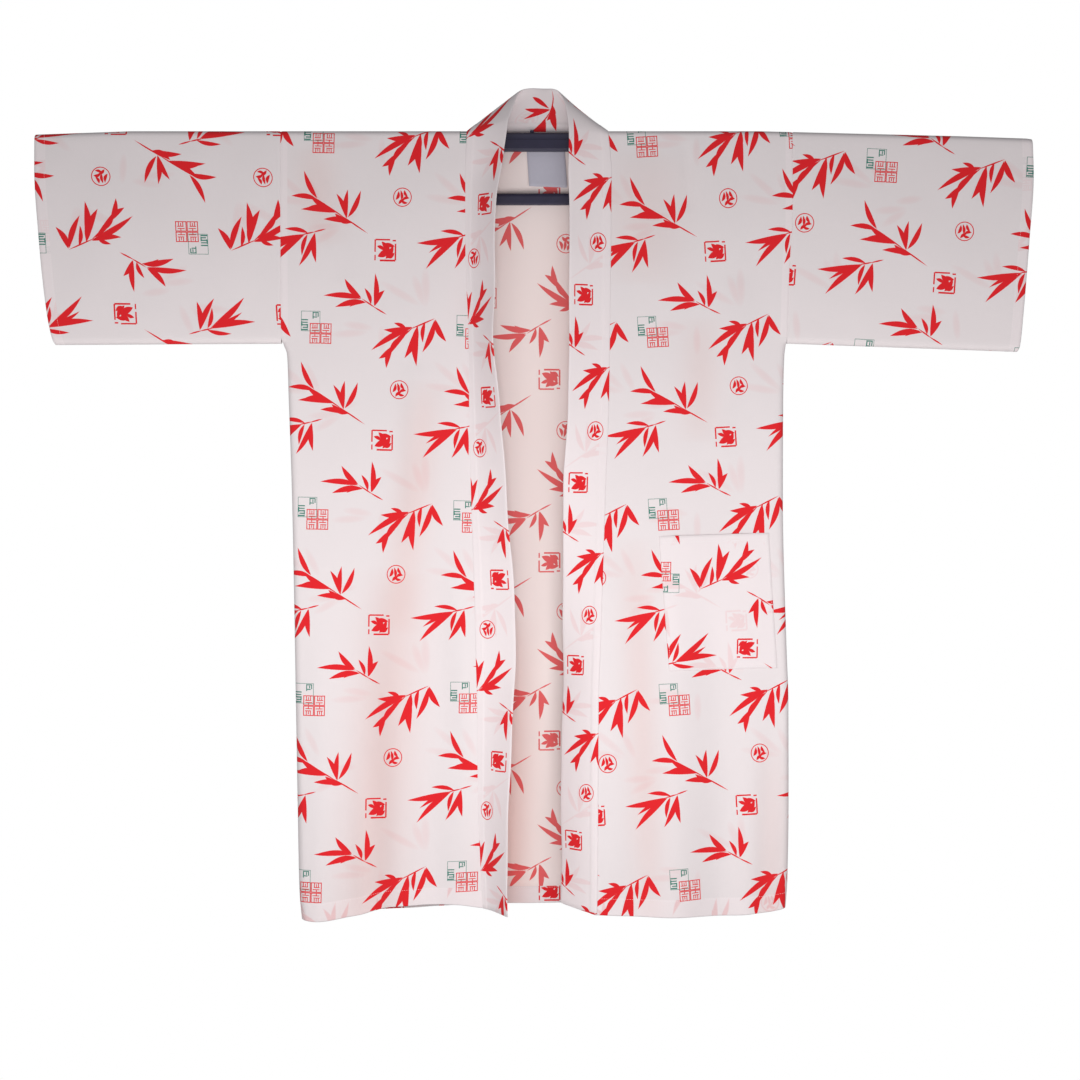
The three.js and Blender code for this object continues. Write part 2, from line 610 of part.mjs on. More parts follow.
function label() {
  const out = CLOTH / 2 + LAID + LABEL / 2;
  return patch(LABEL_PATCH, movedOut(backPoint, out), 5, 3, LABEL);
}

// ---- Pieces of the hanger

/** A section in the y-z plane, its top at z 0: round above, with bevelled corners below. */
function section(half, height) {
  const steps = 6;
  const round = Array.from({ length: steps + 1 }, (_, n) => {
    const angle = (n / steps) * Math.PI;
    return { y: Math.cos(angle) * half, z: (Math.sin(angle) - 1) * half };
  });
  const bevel = { wide: half * 0.3, tall: half * 0.5 };
  const below = [
    { y: -half, z: -height + bevel.tall },
    { y: -half + bevel.wide, z: -height },
    { y: half - bevel.wide, z: -height },
    { y: half, z: -height + bevel.tall },
  ];
  return { round, below };
}

/** A bar along x from one end to the other, its top at a height less the shoulder's drop. */
function straightBar(from, to, top, height, profile, between) {
  const stations = [
    ...BAR_ENDS.map(({ inset, size }) => ({ x: from + inset, size })),
    ...between.map((x) => ({ x, size: 1 })),
    ...[...BAR_ENDS].reverse().map(({ inset, size }) => ({ x: to - inset, size })),
  ];
  const middle = -height / 2;
  return bar(stations.map(({ x, size }) => profile.map(({ y, z }) => {
    const level = top - shoulderDrop(x) + lerp(middle, z, size);
    return new THREE.Vector3(x, y * size, level);
  })));
}

/** The bar through both sleeves, with a narrow ledge along its front. */
function upperBar() {
  const { round, below } = section(BAR_HALF, BAR_HEIGHT);
  const inner = -BAR_HALF + LEDGE.back;
  const ledge = [
    { y: inner, z: -BAR_HALF },
    { y: inner, z: -BAR_LEDGE },
    { y: -BAR_HALF, z: -BAR_LEDGE - LEDGE.slope },
  ];
  const profile = [...round.slice(0, -1), ...ledge, ...below];
  const bend = SHOULDER_LINE.filter(({ x }) => x > BAR_END_RIGHT && x < BAR_END_LEFT).map(({ x }) => x);
  return straightBar(BAR_END_RIGHT, BAR_END_LEFT, BAR_TOP, BAR_HEIGHT, profile, bend);
}

function lowerBar() {
  const { round, below } = section(RAIL_HALF, RAIL_HEIGHT);
  return straightBar(-RAIL_REACH, RAIL_REACH, RAIL_TOP, RAIL_HEIGHT, [...round, ...below], []);
}

function upright() {
  const half = UPRIGHT_SIDE / 2;
  const flat = half - UPRIGHT_NIP;
  const corners = [[-flat, -half], [flat, -half], [half, -flat], [half, flat]];
  const outline = [...corners, ...corners.map(([x, y]) => [-x, -y])];
  const shape = new THREE.Shape(outline.map(([x, y]) => new THREE.Vector2(x, y)));
  const tall = BAR_TOP - BAR_HEIGHT - RAIL_TOP - 2 * HANGER_GAP;
  return new THREE.ExtrudeGeometry(shape, { depth: tall, bevelEnabled: false });
}

function socket() {
  const tall = -BAR_TOP - HANGER_GAP;
  const geometry = new THREE.CylinderGeometry(SOCKET_RADIUS, SOCKET_RADIUS, tall, 20);
  geometry.rotateX(Math.PI / 2);
  return geometry.translate(0, 0, -tall / 2);
}

// ---- Finishes
const printedCotton = () => new THREE.MeshStandardMaterial({ color: 0xe9e1e0, roughness: 0.92 });
const labelTape = () => new THREE.MeshStandardMaterial({ color: 0xc9c8d8, roughness: 0.8 });
const navyPlastic = () => new THREE.MeshStandardMaterial({ color: 0x26223a, roughness: 0.42 });

function piece(name, geometry, material) {
  const mesh = new THREE.Mesh(geometry, material);
  mesh.name = name;
  return mesh;
}

const yukata = new THREE.Group();
yukata.add(piece('back', back(), printedCotton()));
yukata.add(piece('collar', collar(), printedCotton()));
for (const side of ['right', 'left']) {
  yukata.add(piece(`front_${side}`, front(side), printedCotton()));
  yukata.add(piece(`sleeve_${side}`, sleeve(side), printedCotton()));
}
yukata.add(piece('pocket', pocket(), printedCotton()));
yukata.add(piece('label', label(), labelTape()));

const hanger = new THREE.Group();
hanger.add(piece('upper_bar', upperBar(), navyPlastic()));
hanger.add(piece('lower_bar', lowerBar(), navyPlastic()));
for (const [name, sign] of [['upright_right', -1], ['upright_left', 1]]) {
  const post = piece(name, upright(), navyPlastic());
  post.position.set(sign * UPRIGHT_AT, 0, RAIL_TOP + HANGER_GAP);
  hanger.add(post);
}
hanger.add(piece('hook_socket', socket(), navyPlastic()));

const part = new THREE.Group();
part.add(yukata, hanger);

export default part;
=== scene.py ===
"""A short yukata on a hanging bar: its cloth, print and sewing, and the finish of the bar.

Sizes are millimetres until a mesh is made. Right and left in the names are the wearer's. The cloth's
middle surfaces follow the same curves as the solids, and every piece of cloth is a thin closed shell.
"""
import json
import logging
import math
from collections.abc import Callable, Iterator, Sequence
from dataclasses import dataclass, field
from enum import Enum

import bpy
import numpy as np
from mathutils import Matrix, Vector

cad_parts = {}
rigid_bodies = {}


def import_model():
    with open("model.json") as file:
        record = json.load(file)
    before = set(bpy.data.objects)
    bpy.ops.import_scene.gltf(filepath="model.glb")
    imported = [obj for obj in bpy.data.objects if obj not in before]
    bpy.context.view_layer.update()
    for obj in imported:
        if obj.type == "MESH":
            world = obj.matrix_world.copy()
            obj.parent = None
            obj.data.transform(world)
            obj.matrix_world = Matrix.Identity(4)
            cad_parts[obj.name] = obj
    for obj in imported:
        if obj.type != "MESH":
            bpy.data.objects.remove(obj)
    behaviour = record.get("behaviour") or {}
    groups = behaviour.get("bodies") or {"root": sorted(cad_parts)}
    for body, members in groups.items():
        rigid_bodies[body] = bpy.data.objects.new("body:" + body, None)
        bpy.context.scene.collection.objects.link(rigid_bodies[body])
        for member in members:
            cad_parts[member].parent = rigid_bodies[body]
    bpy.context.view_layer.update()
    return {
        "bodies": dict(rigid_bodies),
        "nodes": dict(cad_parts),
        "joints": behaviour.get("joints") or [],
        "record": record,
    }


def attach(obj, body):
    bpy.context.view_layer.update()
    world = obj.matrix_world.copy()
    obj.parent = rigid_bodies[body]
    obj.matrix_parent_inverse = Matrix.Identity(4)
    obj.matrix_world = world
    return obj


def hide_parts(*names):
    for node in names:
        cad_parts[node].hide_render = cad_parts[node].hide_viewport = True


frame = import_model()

MM = 0.001
Values = float | np.ndarray
log = logging.getLogger("yukata")


class Side(Enum):
    """The wearer's side of a piece."""

    RIGHT = "right"
    LEFT = "left"


# ---- Sizes shared with the solids
OVER = 7.2
CREST = -1.4
SPRING = CREST - OVER
UNDERARM = -272.0
SLEEVE_FOOT = -262.0
HEM = -990.0
HEM_EASE = -780.0
TURN = 9.0
NECK_EASE = 26.0
NECK_BACK = 9.0
NECK_RISE = 0.4
NECK_SETTLE = -75.0
BACK_REACH = 150.0
FOLD_CALM = 0.12
BAND_WIDTH = 62.0
BAND_CURL = 0.5
BAND_EASE = (8.0, 60.0)

# ---- Sizes of the thin shells and the sewing
CLOTH_HALF = 0.45
HEM_WIDE = 22.0
HEM_TOP = HEM + HEM_WIDE
HEM_TURNED = 0.8
CUFF_WIDE = 14.0
ROLL = (0.7, 2.6)
LAP = 0.8


class Table:
    """Rows of sizes under named columns, read by the first column with steps that never overshoot."""

    def __init__(self, header: str, *rows: tuple[float, ...]) -> None:
        """Keeps the rows in the order of their first column.

        Args:
            header: The columns' names.
            rows: One tuple of numbers for each row.
        """
        ordered = np.array(sorted(rows), float)
        self.columns = dict(zip(header.split(), ordered.T))
        self.key = ordered[:, 0]

    def at(self, column: str, value: Values) -> np.ndarray:
        """Reads one column.

        Args:
            column: The column's name.
            value: Where along the first column.

        Returns:
            The column's value there.
        """
        key, level = self.key, self.columns[column]
        slope = np.diff(level) / np.diff(key)
        before, after = slope[:-1], slope[1:]
        agree = before * after > 0
        middle = np.where(agree, 2 * before * after / np.where(agree, before + after, 1), 0)
        tangent = np.concatenate([slope[:1], middle, slope[-1:]])
        value = np.clip(value, key[0], key[-1])
        i = np.clip(np.searchsorted(key, value, side="right") - 1, 0, len(key) - 2)
        run = key[i + 1] - key[i]
        t = (value - key[i]) / run
        start = (1 + 2 * t) * (1 - t) ** 2 * level[i] + t * (1 - t) ** 2 * run * tangent[i]
        end = t * t * (3 - 2 * t) * level[i + 1] + t * t * (t - 1) * run * tangent[i + 1]
        return start + end


SHOULDER_LINE = ((-634, -512, 290, 546, 630, 638), (4.4, 0, 0, 6.4, 9.3, 10.5))
SIDES = Table(
    "z right left",
    (0, -320.0, 331.5), (-110, -320.0, 331.5), (-155, -319.8, 328.5), (-195, -319.6, 326.6),
    (-262, -319.3, 324.6), (-272, -317.1, 323.7), (-286, -312.4, 321.9), (-345, -310.2, 320.4),
    (-470, -306.0, 320.0), (-660, -302.3, 324.7), (-725, -301.2, 327.0), (-855, -298.8, 327.2),
    (-955, -296.6, 325.6), (-1004, -291.8, 322.0),
)
HANG = Table(
    "z side back",
    (0, 7.2, 7.2), (-60, 7.6, 9.2), (-140, 8.3, 10.2), (-225, 7.8, 11.0), (-272, 7.4, 11.4),
    (-340, 8.6, 12.0), (-600, 10.0, 14.5), (-990, 11.5, 18.5),
)
BAND_HEADER = "z seam_x seam edge_x edge rise"
BAND = {
    Side.RIGHT: Table(
        BAND_HEADER,
        (-8.6, -82.4, 7.2, -30.5, 20, 19), (-20, -83.0, 7.3, -32.6, 25, 11),
        (-34, -83.7, 7.8, -35.2, 29, 4), (-50, -84.2, 8.4, -37.7, 33, 0),
        (-95, -84.5, 10.0, -44.9, 43, 0), (-165, -84.2, 12.0, -47.0, 48, 0),
        (-255, -80.6, 14.5, -48.0, 54, 0), (-355, -79.3, 17.5, -40.3, 52, 0),
        (-460, -76.8, 20.5, -32.3, 47, 0), (-600, -72.0, 24.0, -22.2, 42, 0),
        (-665, -70.4, 25.5, -20.6, 43, 0), (-726, -68.9, 26.5, -22.7, 50, 0),
        (-855, -68.0, 27.5, -29.6, 61, -1), (-930, -65.0, 28.0, -30.4, 64, -3),
        (-990, -62.3, 28.0, -29.8, 64, -6),
    ),
    Side.LEFT: Table(
        BAND_HEADER,
        (-8.6, 96.6, 7.2, 46.6, 15, 12), (-20, 98.0, 7.3, 47.2, 18, 8),
        (-34, 99.4, 7.8, 46.8, 20, 3), (-50, 100.5, 8.4, 46.5, 22, 0),
        (-95, 100.2, 10.0, 48.0, 24, 0), (-165, 99.4, 13.0, 47.0, 27, 0),
        (-255, 98.2, 17.0, 47.5, 30, 0), (-345, 96.8, 22.0, 46.0, 33, 0),
        (-460, 92.4, 28.0, 39.8, 30, 0), (-550, 89.3, 33.0, 39.5, 24, 0),
        (-650, 85.9, 38.0, 39.5, 17, 0), (-726, 83.3, 41.0, 39.1, 15, 0),
        (-855, 82.6, 44.0, 37.0, 15, 0), (-930, 82.2, 45.5, 37.2, 16, 4),
        (-990, 81.3, 46.0, 37.8, 16, 11),
    ),
}
NECK = Table(
    "step over seam_x edge_x edge_y edge_z",
    (0, -90, -82.4, -30.5, -20.0, 10.4), (1, -60, -82.4, -26.5, -15.0, 22.0),
    (2, -30, -82.4, -22.0, -8.0, 37.0), (3, 0, -82.4, -18.4, 0.0, 49.4),
    (4, 0, -79.5, -14.6, 6.0, 53.6), (5, 0, -74.0, -10.0, 10.2, 55.4),
    (6, 0, -64.0, -4.2, 12.6, 56.0), (7, 0, -45.0, 2.0, 13.6, 56.2),
    (8, 0, -20.0, 7.6, 14.0, 56.2), (9, 0, 7.0, 13.2, 14.2, 56.2),
    (10, 0, 34.0, 18.8, 14.2, 56.2), (11, 0, 58.0, 24.6, 13.8, 56.0),
    (12, 0, 78.0, 30.2, 12.4, 54.6), (13, 0, 88.0, 34.6, 9.4, 50.6),
    (14, 0, 93.8, 38.0, 4.6, 45.2), (15, 0, 96.6, 40.6, -1.2, 39.0),
    (16, -30, 96.6, 43.0, -6.6, 28.6), (17, -60, 96.6, 45.2, -11.2, 16.0),
    (18, -90, 96.6, 46.6, -15.0, 3.4),
)
NECK_CORNER = {Side.RIGHT: -82.4, Side.LEFT: 96.6}
HEMS = {
    Side.RIGHT: Table(
        "across z", (0, -1003.8), (0.07, -1005.5), (0.3, -998.2), (0.52, -985.6), (0.85, -982.9),
        (1, -986.3),
    ),
    Side.LEFT: Table(
        "across z", (0, -988.5), (0.1, -993.6), (0.3, -997.6), (0.6, -997.0), (1, -992.4),
    ),
}
HEM_BACK = Table(
    "across z", (0, -1003.8), (0.12, -996.0), (0.36, -988.5), (0.48, -986.2), (0.75, -988.0),
    (1, -988.5),
)
CUFFS = Table(
    "z right left",
    (-3, -632.4, 636.4), (-45, -632.4, 637.5), (-127, -627.3, 632.2), (-229, -617.0, 624.0),
    (-262, -610.4, 620.6), (-284, -601.5, 614.0),
)
SLEEVE_FOLD = {
    Side.RIGHT: ((-640, -310), (-273.8, UNDERARM)),
    Side.LEFT: ((327.7, 640), (UNDERARM, -283.2)),
}
POCKET_CORNERS = (((160.7, -517.6), (300.5, -513.0)), ((173.2, -687.2), (311.0, -684.0)))
LABEL_CORNERS = (((-8.0, -5.0), (40.6, -4.0)), ((-3.4, -69.6), (44.6, -71.6)))


@dataclass(frozen=True)
class Fold:
    """A soft fold that opens towards the hem."""

    x: float
    top: float
    width: float
    forward: float
    lean: float

    def at(self, x: Values, z: Values) -> np.ndarray:
        """How far it brings the cloth forward at a place."""
        run = self.top - HEM
        axis = self.x + self.lean * np.clip((self.top - z) / run, 0, 1)
        return self.forward * smooth(self.top - z, 0, run) * np.exp(-(((x - axis) / self.width) ** 2))


@dataclass(frozen=True)
class Crease:
    """A soft ridge or trough along a line, or a band of painted shade, with its height or the shade's
    strength in the middle.
    """

    start: tuple[float, float]
    end: tuple[float, float]
    width: float
    height: float

    def at(self, x: Values, z: Values) -> np.ndarray:
        """Its height or strength at a place."""
        run = (self.end[0] - self.start[0], self.end[1] - self.start[1])
        square = run[0] ** 2 + run[1] ** 2
        share = np.clip(((x - self.start[0]) * run[0] + (z - self.start[1]) * run[1]) / square, 0, 1)
        off = np.hypot(x - self.start[0] - share * run[0], z - self.start[1] - share * run[1])
        return self.height * np.sqrt(4 * share * (1 - share)) * np.exp(-((off / self.width) ** 2))


@dataclass(frozen=True)
class Ripple:
    """A slight wave of slack cloth, by its height and how far it runs across and down for each radian."""

    height: float
    across: float
    down: float
    phase: float = 0.0

    def at(self, x: Values, z: Values) -> np.ndarray:
        """Its height at a place."""
        return self.height * np.sin(x / self.across + z / self.down + self.phase)


RIPPLES = (Ripple(0.32, 14.3, 61.0), Ripple(0.3, 37.0, -21.7, 1.3))
BROKEN_RIPPLE = Ripple(0.28, 23.0, 44.0, 2.1)
BREAK_RUN = 71.0
FOLDS = {
    "front_right": (
        Fold(-272, -420, 24, 8, 6), Fold(-216, -330, 26, -4, 10), Fold(-176, -300, 22, 4, 8),
        Fold(-138, -260, 26, -7, 14),
    ),
    "front_left": (
        Fold(286, -640, 22, 5, -6), Fold(232, -300, 26, -5, 10), Fold(176, -420, 28, 7, 8),
        Fold(128, -300, 22, -4, 6),
    ),
    "back": (
        Fold(-236, -320, 30, -6, 6), Fold(-160, -260, 28, 5, 10), Fold(-78, -380, 30, -5, 6),
        Fold(6, -300, 26, 4, -6), Fold(92, -240, 30, -6, -8), Fold(178, -420, 28, 5, 6),
        Fold(254, -300, 28, -5, 10),
    ),
}
CREASES = {
    "front_right": (
        Crease((-149, -300), (-152, -540), 15, 3.4), Crease((-219, -800), (-214, -1120), 12, 3.7),
        Crease((-262, -30), (-240, -190), 20, -2.0), Crease((-120, -560), (-104, -800), 16, -3.1),
    ),
    "front_left": (
        Crease((197, -4), (199, -104), 7, -2.4), Crease((262, -190), (236, -420), 18, 2.7),
        Crease((140, -640), (150, -900), 16, 3.1), Crease((300, -760), (286, -1080), 14, -2.7),
    ),
    "back": (
        Crease((24, -420), (18, -880), 16, 4.1), Crease((-190, -150), (-200, -430), 18, 2.7),
        Crease((-120, -620), (-132, -1100), 16, -3.4), Crease((150, -90), (168, -380), 20, -3.1),
        Crease((236, -520), (222, -900), 18, 3.4), Crease((-262, -700), (-250, -1080), 14, 2.7),
    ),
}
# Painted shade along the soft folds: bands in which the cloth's colour is darkened and warmed, by line, width
# and strength.
FOLD_SHADES = {
    "front_right": (
        Crease((-134, -320), (-170, -640), 24, 0.55), Crease((-172, -560), (-214, -1090), 38, 0.75),
        Crease((-276, -20), (-268, -150), 26, 0.45),
    ),
    "front_left": (
        Crease((150, -30), (140, -200), 46, 0.3), Crease((216, -240), (212, -400), 24, 0.35),
        Crease((128, -520), (150, -1010), 20, 0.5), Crease((306, -780), (300, -1120), 20, 0.35),
    ),
    "back": (
        Crease((-38, -620), (-30, -1140), 28, 0.95), Crease((150, -300), (168, -800), 34, 0.4),
        Crease((-190, -500), (-206, -1080), 38, 0.5), Crease((-250, -60), (-236, -330), 24, 0.3),
    ),
}


def smooth(value: Values, low: float, high: float) -> np.ndarray:
    """A smooth step from 0 at low to 1 at high."""
    t = np.clip((value - low) / (high - low), 0, 1)
    return t * t * (3 - 2 * t)


def mix(start: Values, end: Values, share: Values) -> np.ndarray:
    """The value at a share of the way from start to end."""
    return start + (end - start) * share


def fill(stops: Sequence[float], step: float) -> np.ndarray:
    """Positions through all the stops, no further apart than a step."""
    runs = [
        np.linspace(a, b, max(1, math.ceil(abs(b - a) / step)), endpoint=False)
        for a, b in zip(stops, stops[1:])
    ]
    return np.concatenate([*runs, stops[-1:]])


def eased(line: np.ndarray, share: np.ndarray) -> np.ndarray:
    """A line whose points are drawn towards their neighbours by a share."""
    even = line.copy()
    even[1:-1] = (line[:-2] + 2 * line[1:-1] + line[2:]) / 4
    return mix(line, even, share)


def normals(grid: np.ndarray, turned: bool = False) -> np.ndarray:
    """The unit normals of a grid inside its outermost rows and columns."""
    normal = np.cross(grid[1:-1, 2:] - grid[1:-1, :-2], grid[2:, 1:-1] - grid[:-2, 1:-1])
    return normal * (-1 if turned else 1) / np.linalg.norm(normal, axis=-1, keepdims=True)


def place(x: Values, y: Values, z: Values) -> np.ndarray:
    """Points from their coordinates."""
    return np.stack(np.broadcast_arrays(x, y, z), -1).astype(float)


class Hanging:
    """The middle surfaces of the cloth as it hangs."""

    @staticmethod
    def drop(x: Values) -> np.ndarray:
        """How far the shoulder line has fallen at x."""
        return np.interp(x, *SHOULDER_LINE)

    @staticmethod
    def open_at_side(x: Values, z: Values, side: Side) -> np.ndarray:
        """How open the two layers are near a side seam, which starts at the underarm."""
        inward = np.abs(x - SIDES.at(side.value, z))
        above = np.maximum(np.asarray(z) - UNDERARM, 0)
        t = np.clip(np.hypot(inward, above) / TURN, 0, 1)
        return np.sqrt(1 - (1 - t) ** 2)

    @staticmethod
    def relief(panel: str, x: Values, z: Values) -> np.ndarray:
        """How far a panel's folds bring it forward."""
        return sum(fold.at(x, z) for fold in FOLDS[panel])

    @staticmethod
    def slack(panel: str, x: Values, z: Values) -> np.ndarray:
        """How far a panel's creases and its slight slackness bring it forward."""
        waves = sum(ripple.at(x, z) for ripple in RIPPLES)
        waves = waves + BROKEN_RIPPLE.at(x, z) * np.sin(z / BREAK_RUN)
        return waves + sum(crease.at(x, z) for crease in CREASES.get(panel, ()))

    @staticmethod
    def painted_fold_shade(panel: str, x: Values, z: Values) -> np.ndarray:
        """How strongly painted shade darkens and warms a panel along its soft folds."""
        return np.zeros(np.shape(x)) + sum(band.at(x, z) for band in FOLD_SHADES.get(panel, ()))

    @staticmethod
    def hang(z: Values, hem: Values) -> np.ndarray:
        """The actual height of a nominal one, once the hem's own line is taken in."""
        eased = HEM_EASE + (z - HEM_EASE) * (hem - HEM_EASE) / (HEM - HEM_EASE)
        return np.where(np.asarray(z) >= HEM_EASE, z, eased)

    def front(self, side: Side, x: Values, z: Values) -> np.ndarray:
        """A front's point below the fold over the bar, from x and a nominal height."""
        side_x = SIDES.at(side.value, z)
        seam_x = BAND[side].at("seam_x", z)
        across = np.clip((x - side_x) / (seam_x - side_x), 0, 1)
        hanging = mix(HANG.at("side", z), BAND[side].at("seam", z), smooth(across, 0, 1))
        calm = smooth(1 - across, 0, FOLD_CALM)
        free = calm * smooth(across, 0, 0.1) * smooth(SPRING - np.asarray(z), 0, 20)
        panel = f"front_{side.value}"
        depth = hanging + calm * self.relief(panel, x, z) + free * self.slack(panel, x, z)
        level = self.hang(z, HEMS[side].at("z", across)) - self.drop(x)
        return place(x, -depth * self.open_at_side(x, z, side), level)

    def back(self, x: Values, z: Values) -> np.ndarray:
        """The back's point below the fold over the bar, from x and a nominal height."""
        right, left = SIDES.at("right", z), SIDES.at("left", z)
        middle = smooth(np.minimum(x - right, left - x), 0, BACK_REACH)
        neck = self.standing(x) * smooth(z, NECK_SETTLE, SPRING)
        hanging = mix(HANG.at("side", z), HANG.at("back", z), middle)
        free = (1 - neck) * smooth(np.minimum(x - right, left - x), 0, 30)
        free = free * smooth(SPRING - np.asarray(z), 0, 20)
        depth = mix(hanging, NECK_BACK, neck) - middle * self.relief("back", x, z)
        depth = depth - free * self.slack("back", x, z)
        opened = np.minimum(self.open_at_side(x, z, Side.RIGHT), self.open_at_side(x, z, Side.LEFT))
        level = self.hang(z, HEM_BACK.at("z", (x - right) / (left - right))) - self.drop(x)
        return place(x, depth * opened, level)

    @staticmethod
    def standing(x: Values) -> np.ndarray:
        """How upright the top of the back stands: 0 over the shoulders, 1 behind the neck."""
        return smooth(np.minimum(x - NECK_CORNER[Side.RIGHT], NECK_CORNER[Side.LEFT] - x), 0, NECK_EASE)

    def fold(self, x: Values, angle: float) -> np.ndarray:
        """A point of the fold over the bar, by its angle from the top, negative in front."""
        level = CREST - OVER * (1 - math.cos(angle)) - self.drop(x)
        return place(x, OVER * math.sin(angle), level)

    def back_top(self, x: Values, angle: float) -> np.ndarray:
        """A point of the back's upper strip, which folds over the bar or stands behind the neck."""
        upright = place(x, NECK_BACK, mix(NECK_RISE, SPRING, angle / (math.pi / 2)))
        return mix(self.fold(x, angle), upright, self.standing(x)[..., None])


FORM = Hanging()


# ---- The print


@dataclass(frozen=True)
class Repeat:
    """The size of one repeat of the print."""

    wide: float = 204.0
    tall: float = 238.4


REPEAT = Repeat()


@dataclass(frozen=True)
class Lay:
    """How the print lies on a panel: where a repeat starts and its two steps, in the panel's x and z."""

    origin: tuple[float, float]
    across: tuple[float, float]
    down: tuple[float, float]

    def __call__(self, x: Values, z: Values) -> np.ndarray:
        """The print's coordinates at places of the panel."""
        right, fall = np.asarray(x) - self.origin[0], np.asarray(z) - self.origin[1]
        area = self.across[0] * self.down[1] - self.across[1] * self.down[0]
        first = (right * self.down[1] - fall * self.down[0]) / area
        second = (fall * self.across[0] - right * self.across[1]) / area
        return np.stack(np.broadcast_arrays(first * REPEAT.wide, second * REPEAT.tall), -1)


LAYS = {
    "front_right": Lay((-268.8, -259.3), (198, -3.2), (-3.8, -236.5)),
    "front_left": Lay((159.4, -263.3), (193.8, 10.8), (13.2, -233.5)),
    "sleeve_right": Lay((-438.7, -130), (-206.3, 1.5), (-13.4, 241)),
    "sleeve_left": Lay((450.3, -54), (203.4, -10.8), (-15.9, -242.3)),
    "back": Lay((-59.4, -450.4), (200, 0), (0, 233.8)),
    "pocket": Lay((162, -562), (-192, 0), (6, 224)),
}
RISE_FROM, RISE_RUN = -268.8, 198.0
STRETCH = {
    "front_right": Table(
        "z up slant", (-17, 5.5, 0), (-76, 6.5, 0), (-145, 4.6, 0), (-210, 0.2, -1), (-259, 0, -4.6),
        (-496, 0, -1.3), (-733, 0, 7.6), (-969, 0, 19.9),
    ),
    "front_left": Table(
        "z up slant", (-18, 8.4, 0), (-60, 6.0, 0), (-120, 2.6, 0), (-165, 1.8, 0), (-215, -2.6, 0),
        (-272, -1.5, 0), (-420, 0, 0),
    ),
    "back": Table(
        "z up slant", (-60, 9.5, 0), (-145, 6.0, 0), (-260, 3.0, 0), (-450, 0.5, 0), (-570, 2.0, 0),
        (-700, 5.6, 0), (-800, 8.0, 0), (-841, 10.2, 0), (-927, 15.7, 0), (-1000, 19.0, 0),
    ),
}


def print_on(panel: str, x: Values, z: Values) -> np.ndarray:
    """The print's coordinates on a panel, where the cloth has stretched or slants towards the band.

    Args:
        panel: The panel's name.
        x: The places' x.
        z: Their heights along the cloth.

    Returns:
        The two coordinates, as the last axis.
    """
    if panel in STRETCH:
        table = STRETCH[panel]
        ramp = np.clip((x - RISE_FROM) / RISE_RUN, 0, 1.2)
        z = z - table.at("up", z) - table.at("slant", z) * ramp
    return LAYS[panel](x, z)


@dataclass(frozen=True)
class Ink:
    """What a face of cloth shows: its own print, and faintly that of the layer beneath."""

    cut: np.ndarray
    strength: float
    under: np.ndarray
    ghost: float
    doubled: bool = False

    def corners(self) -> tuple[np.ndarray, np.ndarray]:
        """The two attributes at each grid point, with the strengths as third coordinates."""
        shape = self.cut.shape[:-1]
        own = np.concatenate([self.cut, np.full((*shape, 1), self.strength)], -1)
        beneath = np.concatenate([self.under, np.full((*shape, 1), self.ghost)], -1)
        return own.reshape(-1, 3), beneath.reshape(-1, 3)


RIGHT_SIDE = 1.0
WRONG_SIDE = 0.86
FAINT = 0.085
HEM_GHOST = 0.24
POCKET_GHOST = 0.14
BAND_GHOST = 0.12


# ---- Shells


@dataclass
class Zone:
    """A stretch of one face of a shell with its own ink: a mask of grid cells."""

    cells: np.ndarray
    outside: bool
    ink: Ink


